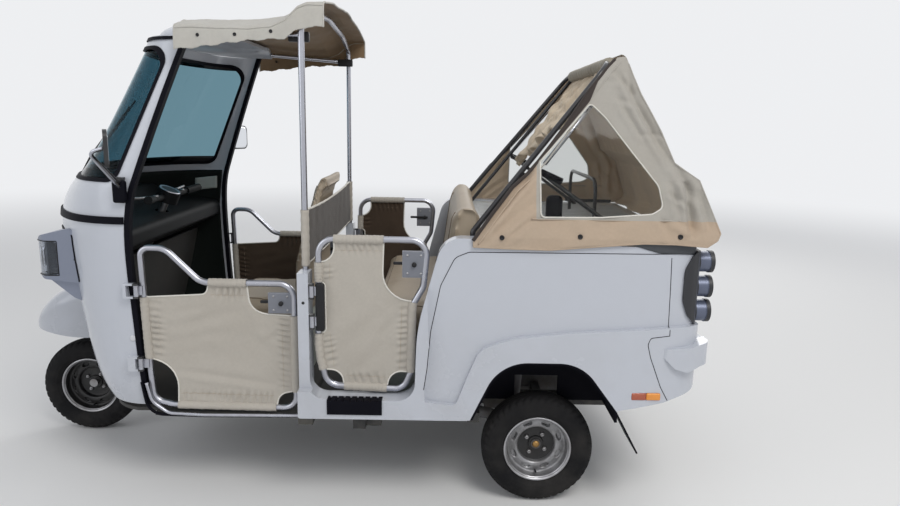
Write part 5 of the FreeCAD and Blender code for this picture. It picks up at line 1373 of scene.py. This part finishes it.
def noseBand(heights, inset):
    # level lines round the nose, one above the other, without their two end points
    return np.stack([noseRing(z, inset)[1:-1] for z in heights]), False, False


bandInset, shadeSheetInset, wheelSpaceHalf = -13.5, -24.5, 0.37
for name, heights in (("screen_low_band", (1288, 1300, 1312, 1324)), ("screen_top_band", (1772, 1782, 1792))):
    made(name, [noseBand(heights, bandInset)], blackPlastic, "rubber_black", recalc=False, thick=0.0006)

# a near-black sheet inside the nose, painted shade for the dark inside of the cab: all round above the wheel space,
# and at the sides below it
lower = noseBand(np.linspace(400, 822, 24), shadeSheetInset)[0]
wide = int(np.sum(lower[12, : lower.shape[1] // 2, 1] > wheelSpaceHalf))
shadeSheetGrids = [noseBand(np.linspace(822, 1248, 24), shadeSheetInset)] + bothSides([(lower[:, :wide], False, False)])
shadeSheetPiece = made("cab_shade_sheet", shadeSheetGrids, cabShadeSheet, "plastic_grey", recalc=False, thick=0.002)
shadeSheetFinder = BVHTree.FromObject(shadeSheetPiece, bpy.context.evaluated_depsgraph_get())
u, v = np.meshgrid(np.linspace(0, 1, 10), np.linspace(0, 1, 10), indexing="ij")
flat = together(axleX(1656) + 0.11 * u - 0.004 * v, 0, 1.15 + 0.066 * v - 0.012 * u)
platePoints = castOnto(shadeSheetFinder, flat, (0, -1, 0), 0.006)
if len(platePoints) == u.size:
    made("wall_plate", [(platePoints.reshape(10, 10, 3), False, False)], innerPaint, "plastic_grey", recalc=False,
         thick=0.004)


wiper = {
    "low": 1.325, "reach": 0.275, "lowY": 0.25, "shift": -0.1, "lift": 0.006, "pivotY": 0.07, "pivotZ": 1.245,
    "bladeRadius": 0.005, "holderRadius": 0.003, "armRadius": 0.0042,
    "knob": [(0.0, 0.03), (0.01, 0.029), (0.014, 0.022), (0.016, 0.0)],
}


def makeWiper(p):
    # a cranked arm from the pivot below the glass and a blade lying on it
    t = np.linspace(0, 1, 40)
    starts = together(beyondNose, p["lowY"] + p["shift"] * t, p["low"] + p["reach"] * t)
    blade = castOnto(surfaceOf("windscreen"), starts, (-1, 0, 0), p["lift"])
    strand("wiper_blade", blade, p["bladeRadius"], blackRubber)
    strand("wiper_holder", blade[4:-4] + (0.007, 0, 0.004), p["holderRadius"], blackPlastic)
    at = castOnto(shellFinder, (beyondNose, p["pivotY"], p["pivotZ"]), (-1, 0, 0))[0]
    middle = blade[len(blade) // 2] + (0.01, 0, 0.006)
    arm = roundedPath([(*at, 0), (*(at + (0.022, 0.0, 0.01)), 0.008),
                       (*(at * 0.55 + middle * 0.45 + (0.022, 0, 0.008)), 0.05), (*middle, 0)])
    strand("wiper_arm", respace(arm, spacing=0.006), p["armRadius"], blackPlastic)
    made("wiper_pivot", [turnedGrid(p["knob"], at, "x", 28, 1)], blackPlastic, "rubber_black")


makeWiper(wiper)

# the nose's own seams: a line across the front below the lamps, and small lamps on the cheeks
seamStarts = together(beyondNose, np.linspace(-0.45, 0.45, 90), 0.845 - 0.06 * np.linspace(-1, 1, 90) ** 2)
strand("nose_seam", castOnto(shellFinder, seamStarts, (-1, 0, 0)), 0.0013, blackRubber, up=(0, 0, 1))
cheeks, cheekProfile = [], [(0.0, 0.005), (0.008, 0.0045), (0.012, 0.003), (0.0135, -0.002)]
for side in (1, -1):
    at = castOnto(shellFinder, (axleX(1632), side, 0.66), (0, -side, 0))[0]
    cheeks.append(turnedGrid(cheekProfile, at, "y", 28, side))
made("cheek_markers", cheeks, clearLens, "lens")
at = castOnto(shellFinder, (beyondNose, 0, 1.02), (-1, 0, 0))[0]
disc = turnedGrid([(0.0, 0.004), (0.03, 0.0035), (0.034, 0.002), (0.036, -0.004)], at, "x", 48, 1)
made("nose_disc", [disc], lampSilver, "lamp_grey")

# chrome sill moulding along the lower door edge, and mirror parts
sillRows = [(1582, 480, 0), (1564, 400, 60), (1500, 352, 60), (1360, 346, 300), (952, 349, 0)]
mirror = {"x": axleX(1592), "y": 0.786, "z": 1.42, "turn": math.radians(26), "halfWide": 0.057, "halfHigh": 0.06,
          "behind": 0.0078}
u, v = np.meshgrid(np.linspace(-1, 1, 24), np.linspace(-1, 1, 24), indexing="ij")
edge = np.maximum(np.abs(u), np.abs(v)) / np.maximum((np.abs(u) ** 5 + np.abs(v) ** 5) ** 0.2, 1e-6)
across, up = u * edge * mirror["halfWide"], v * edge * mirror["halfHigh"]
sills, mounts, glasses, arms = [], [], [], []
for side in (1, -1):
    rows = [(axleX(x), side * 0.6175, z / 1000, r / 1000) for x, z, r in sillRows]
    sills.append(respace(roundedPath(rows), spacing=0.01))
    mounts += sideBox(1612, 1662, side * 0.611, 0.014, 1.205, 1.292, 0.01)
    turn = (math.cos(mirror["turn"]), side * math.sin(mirror["turn"]))
    x = mirror["x"] - mirror["behind"] * turn[0] - across * turn[1]
    y = side * mirror["y"] - mirror["behind"] * turn[1] + across * turn[0]
    glasses.append(gridOf(x, y, mirror["z"] + up))
    arms.append(respace(roundedPath([(axleX(1632), side * 0.612, 1.262, 0), (axleX(1634), side * 0.655, 1.292, 0.02),
                                     (axleX(1656), side * mirror["y"], 1.404, 0.03),
                                     (axleX(1600), side * mirror["y"], mirror["z"], 0)]), spacing=0.006))
strand("door_sills", sills, 0.0068, chrome, "chrome_tube", 12)
made("mirror_blocks", mounts, blackRubber, "rubber_black")
made("mirror_glass", glasses, mirrorGlass, "lens", recalc=False, thick=0.001)
strand("mirror_arms", arms, 0.0068, chrome, "chrome_tube", 12, up=(0, 0.2, 1))
print("nose trim made")


# Tub trim
tubFinder = surfaceOf("tub_side_left")


def onTub(rows, spacing=0.008):
    # a side outline in millimetres laid on the left wall; the right wall gets its mirror image
    flat = respace(np.array([(axleX(x), z / 1000) for x, z in rows]), spacing=spacing)
    return castOnto(tubFinder, together(flat[:, 0], 1.0, flat[:, 1]), (0, -1, 0))


# dark lines along the tub's crease, rear corner and lower edge: painted shade in the crease, and dark joints at the
# seams
creaseLine = roundedPath([(-515, 0, 1061, 0), (300, 0, 1056, 0), (352, 0, 1034, 40), (405, 0, 925, 60),
                          (440, 0, 745, 200), (452, 0, 600, 0), (464, 0, 515, 0)])[:, [0, 2]]
cornerLine = [(-464, 1046), (-469, 903), (-473, 746)]
lowerLine = roundedPath([(-473, 0, 746, 0), (-400, 0, 738, 12), (-390, 0, 712, 20), (-404, 0, 660, 0),
                         (-452, 0, 540, 0), (-484, 0, 484, 0)])[:, [0, 2]]
creaseShadeAndSeamLines = [onTub(rows) for rows in (creaseLine, cornerLine, lowerLine)]
strand("tub_crease_shade_and_seam_lines", [p for line in creaseShadeAndSeamLines for p in (line, line * (1, -1, 1))], 0.0014, blackRubber)
top = onTub([(-300, 1075), (-575, 1066)])
lower = np.interp(top[:, 0], [axleX(x) for x in (-575, -539, -416, -305)], [1.058, 1.058, 1.063, 1.094])
t = np.linspace(0, 1, 6)[None]
upper = 1.108
strip = gridOf(top[:, :1], top[:, 1:2] + 0.0022, lower[:, None] * (1 - t) + upper * t)
cover = made("luggage_tarp_edge", bothSides([strip]), tarp, "canvas", recalc=False, thick=0.002)
# dark discs for the holes in the pillars: painted shade in the openings
holeShadowProfile = [(0.0, 0.0006), (0.0055, 0.0006), (0.0062, -0.001)]
holeShadows = [turnedGrid(holeShadowProfile, (axleX(930), side * 0.6925, 0.843), "y", 20, side) for side in (1, -1)]
made("pillar_hole_shadows", holeShadows, blackPlastic, "plastic_grey")
bolt = [(0.0, 0.004), (0.005, 0.0035), (0.0065, -0.001)]
bolts = [turnedGrid(bolt, (axleX(-646), y, z), "x", 12, -1) for y in (-0.5, -0.3, 0.3, 0.5) for z in (0.64, 0.672)]
made("bumper_bolts", bolts, blackPlastic, "plastic_grey", sharp=40)
made("blank_plate", sideBox(-603.5, -600.5, 0, 0.255, 0.742, 0.858, 0.0014), plateBlank, "lamp_grey")
tailSeam = castOnto(surfaceOf("rear_panel"), together(-2.5, np.linspace(-0.565, 0.565, 60), 0.905), (1, 0, 0))
strand("tail_seam", tailSeam, 0.0014, blackRubber, up=(0, 0, 1))
print("tub trim made")


# Cab inside
rake = math.radians(24)
stemLength = 1.057
stemTop = np.array([axleX(wheelbase) - stemLength * math.sin(rake), 0,
                    wheelRadius + stemLength * math.cos(rake)])
tilt = np.array([[math.cos(rake), 0, -math.sin(rake)], [0, 1, 0], [math.sin(rake), 0, math.cos(rake)]])
for name, profile, sides, material, slotName in (
        ("dial_ring", [(0.0, 0.0015), (0.04, 0.0015), (0.044, 0.004), (0.047, 0.0035), (0.049, -0.004)], 56, chrome,
         "chrome_tube"),
        ("dial_face", [(0.0, 0.0022), (0.039, 0.0022)], 40, blackPlastic, "plastic_grey")):
    dial = turnedGrid(profile, (0, 0, 0), "z", sides)[0] @ tilt.T + stemTop
    made(name, [(dial, True, False)], material, slotName, "steering")
levers = []
for side in (1, -1):
    lever = np.array([(-0.005, side * 0.15, -0.015), (0.055, side * 0.2, -0.02), (0.045, side * 0.29, -0.01)])
    levers.append(respace(lever + stemTop, spacing=0.01))
strand("brake_levers", levers, 0.0065, bareSteel, "bare_steel", 10, body="steering", up=(0, 0.1, 1))
print("cab inside made")

# Camera, light and floor
shot = {"place": (-0.4515, 3.2275, 1.5391), "pitch": 0.1914, "yaw": 0.0084, "roll": 0.019, "lens": 27.38}


def makeCamera(p):
    # looks along the photograph's own line of sight, turned about it by the roll
    sy, cy, sp, cp = math.sin(p["yaw"]), math.cos(p["yaw"]), math.sin(p["pitch"]), math.cos(p["pitch"])
    ahead = Vector((-sy * cp, -cy * cp, -sp))
    right = Vector((-cy, sy, 0))
    up = right.cross(ahead)
    r = right * math.cos(p["roll"]) + up * math.sin(p["roll"])
    u = up * math.cos(p["roll"]) - right * math.sin(p["roll"])
    camera = bpy.data.objects.new("photoCamera", bpy.data.cameras.new("photoCamera"))
    camera.data.lens, camera.data.sensor_width = p["lens"], 36
    camera.data.clip_start, camera.data.clip_end = 0.05, 100
    bpy.context.scene.collection.objects.link(camera)
    matrix = camera.matrix_world.copy()
    for k in range(3):
        matrix[k][0], matrix[k][1], matrix[k][2], matrix[k][3] = r[k], u[k], -ahead[k], p["place"][k]
    camera.matrix_world = matrix
    bpy.context.scene.camera = camera


def addLamp(name, place, target, size, power, color):
    lamp = bpy.data.lights.new(name, "AREA")
    lamp.shape, lamp.size, lamp.energy, lamp.color = "DISK", size, power, color
    holder = bpy.data.objects.new(name, lamp)
    bpy.context.scene.collection.objects.link(holder)
    holder.location = place
    holder.rotation_euler = (Vector(target) - Vector(place)).to_track_quat("-Z", "Y").to_euler()


makeCamera(shot)
addLamp("keyLight", (-2.5, 4.0, 5.5), (0, 0, 0.8), 3.0, 165, (1.0, 0.98, 0.95))
addLamp("fillLight", (4.5, 3.5, 3.0), (0.3, 0, 0.8), 4.0, 45, (0.95, 0.97, 1.0))
addLamp("backLight", (-3.0, -5.0, 4.5), (0, 0, 0.8), 4.0, 100, (1.0, 0.99, 0.97))

backdrop = (0.9, 0.91, 0.93, 1)


def seenRays(tree):
    # 1 for the rays that show the background: straight from the camera, off metal and through glass
    light = tree.nodes.new("ShaderNodeLightPath").outputs
    seen = mathNode(tree, "MAXIMUM", light["Is Camera Ray"], light["Is Transmission Ray"])
    return mathNode(tree, "MAXIMUM", seen, light["Is Glossy Ray"])


def blendBackdrop(tree, share, kind, plain, surface):
    # the backdrop's own light in place of the plain shader, by the given share
    glow = setInputs(tree.nodes.new(kind), Color=backdrop, Strength=0.95)
    blend = tree.nodes.new("ShaderNodeMixShader")
    wire(tree, (share, blend.inputs[0]), (plain.outputs[0], blend.inputs[1]), (glow.outputs[0], blend.inputs[2]),
         (blend.outputs[0], surface.inputs["Surface"]))


world = bpy.data.worlds.new("studio")
bpy.context.scene.world = world
world.use_nodes = True
tree = world.node_tree
sky = setInputs(tree.nodes["Background"], Color=(0.93, 0.95, 1.0, 1), Strength=0.52)
blendBackdrop(tree, seenRays(tree), "ShaderNodeBackground", sky, tree.nodes["World Output"])

floorMesh = bpy.data.meshes.new("studio_floor")
floorMesh.from_pydata([(-150, -150, 0), (150, -150, 0), (150, 150, 0), (-150, 150, 0)], [], [(0, 1, 2, 3)])
floor = bpy.data.objects.new("studio_floor", floorMesh)
bpy.context.scene.collection.objects.link(floor)
floorPaint, _ = newMaterial("floorPaint", Base_Color=(0.84, 0.84, 0.83), Roughness=0.9)
floorMesh.materials.append(floorPaint)
# far from the vehicle the floor turns into the backdrop, so that no horizon shows
tree = floorPaint.node_tree
reach = addNode(tree, "ShaderNodeVectorMath", operation="LENGTH")
fade = setInputs(addNode(tree, "ShaderNodeMapRange", interpolation_type="SMOOTHSTEP"), From_Min=3.5, From_Max=14.0)
wire(tree, (objectPlace(tree), reach.inputs[0]), (reach.outputs["Value"], fade.inputs["Value"]))
share = mathNode(tree, "MULTIPLY", seenRays(tree), fade.outputs["Result"])
blendBackdrop(tree, share, "ShaderNodeEmission", tree.nodes["Principled BSDF"], tree.nodes["Material Output"])
bpy.context.scene.view_settings.view_transform = "Standard"
print("studio made")
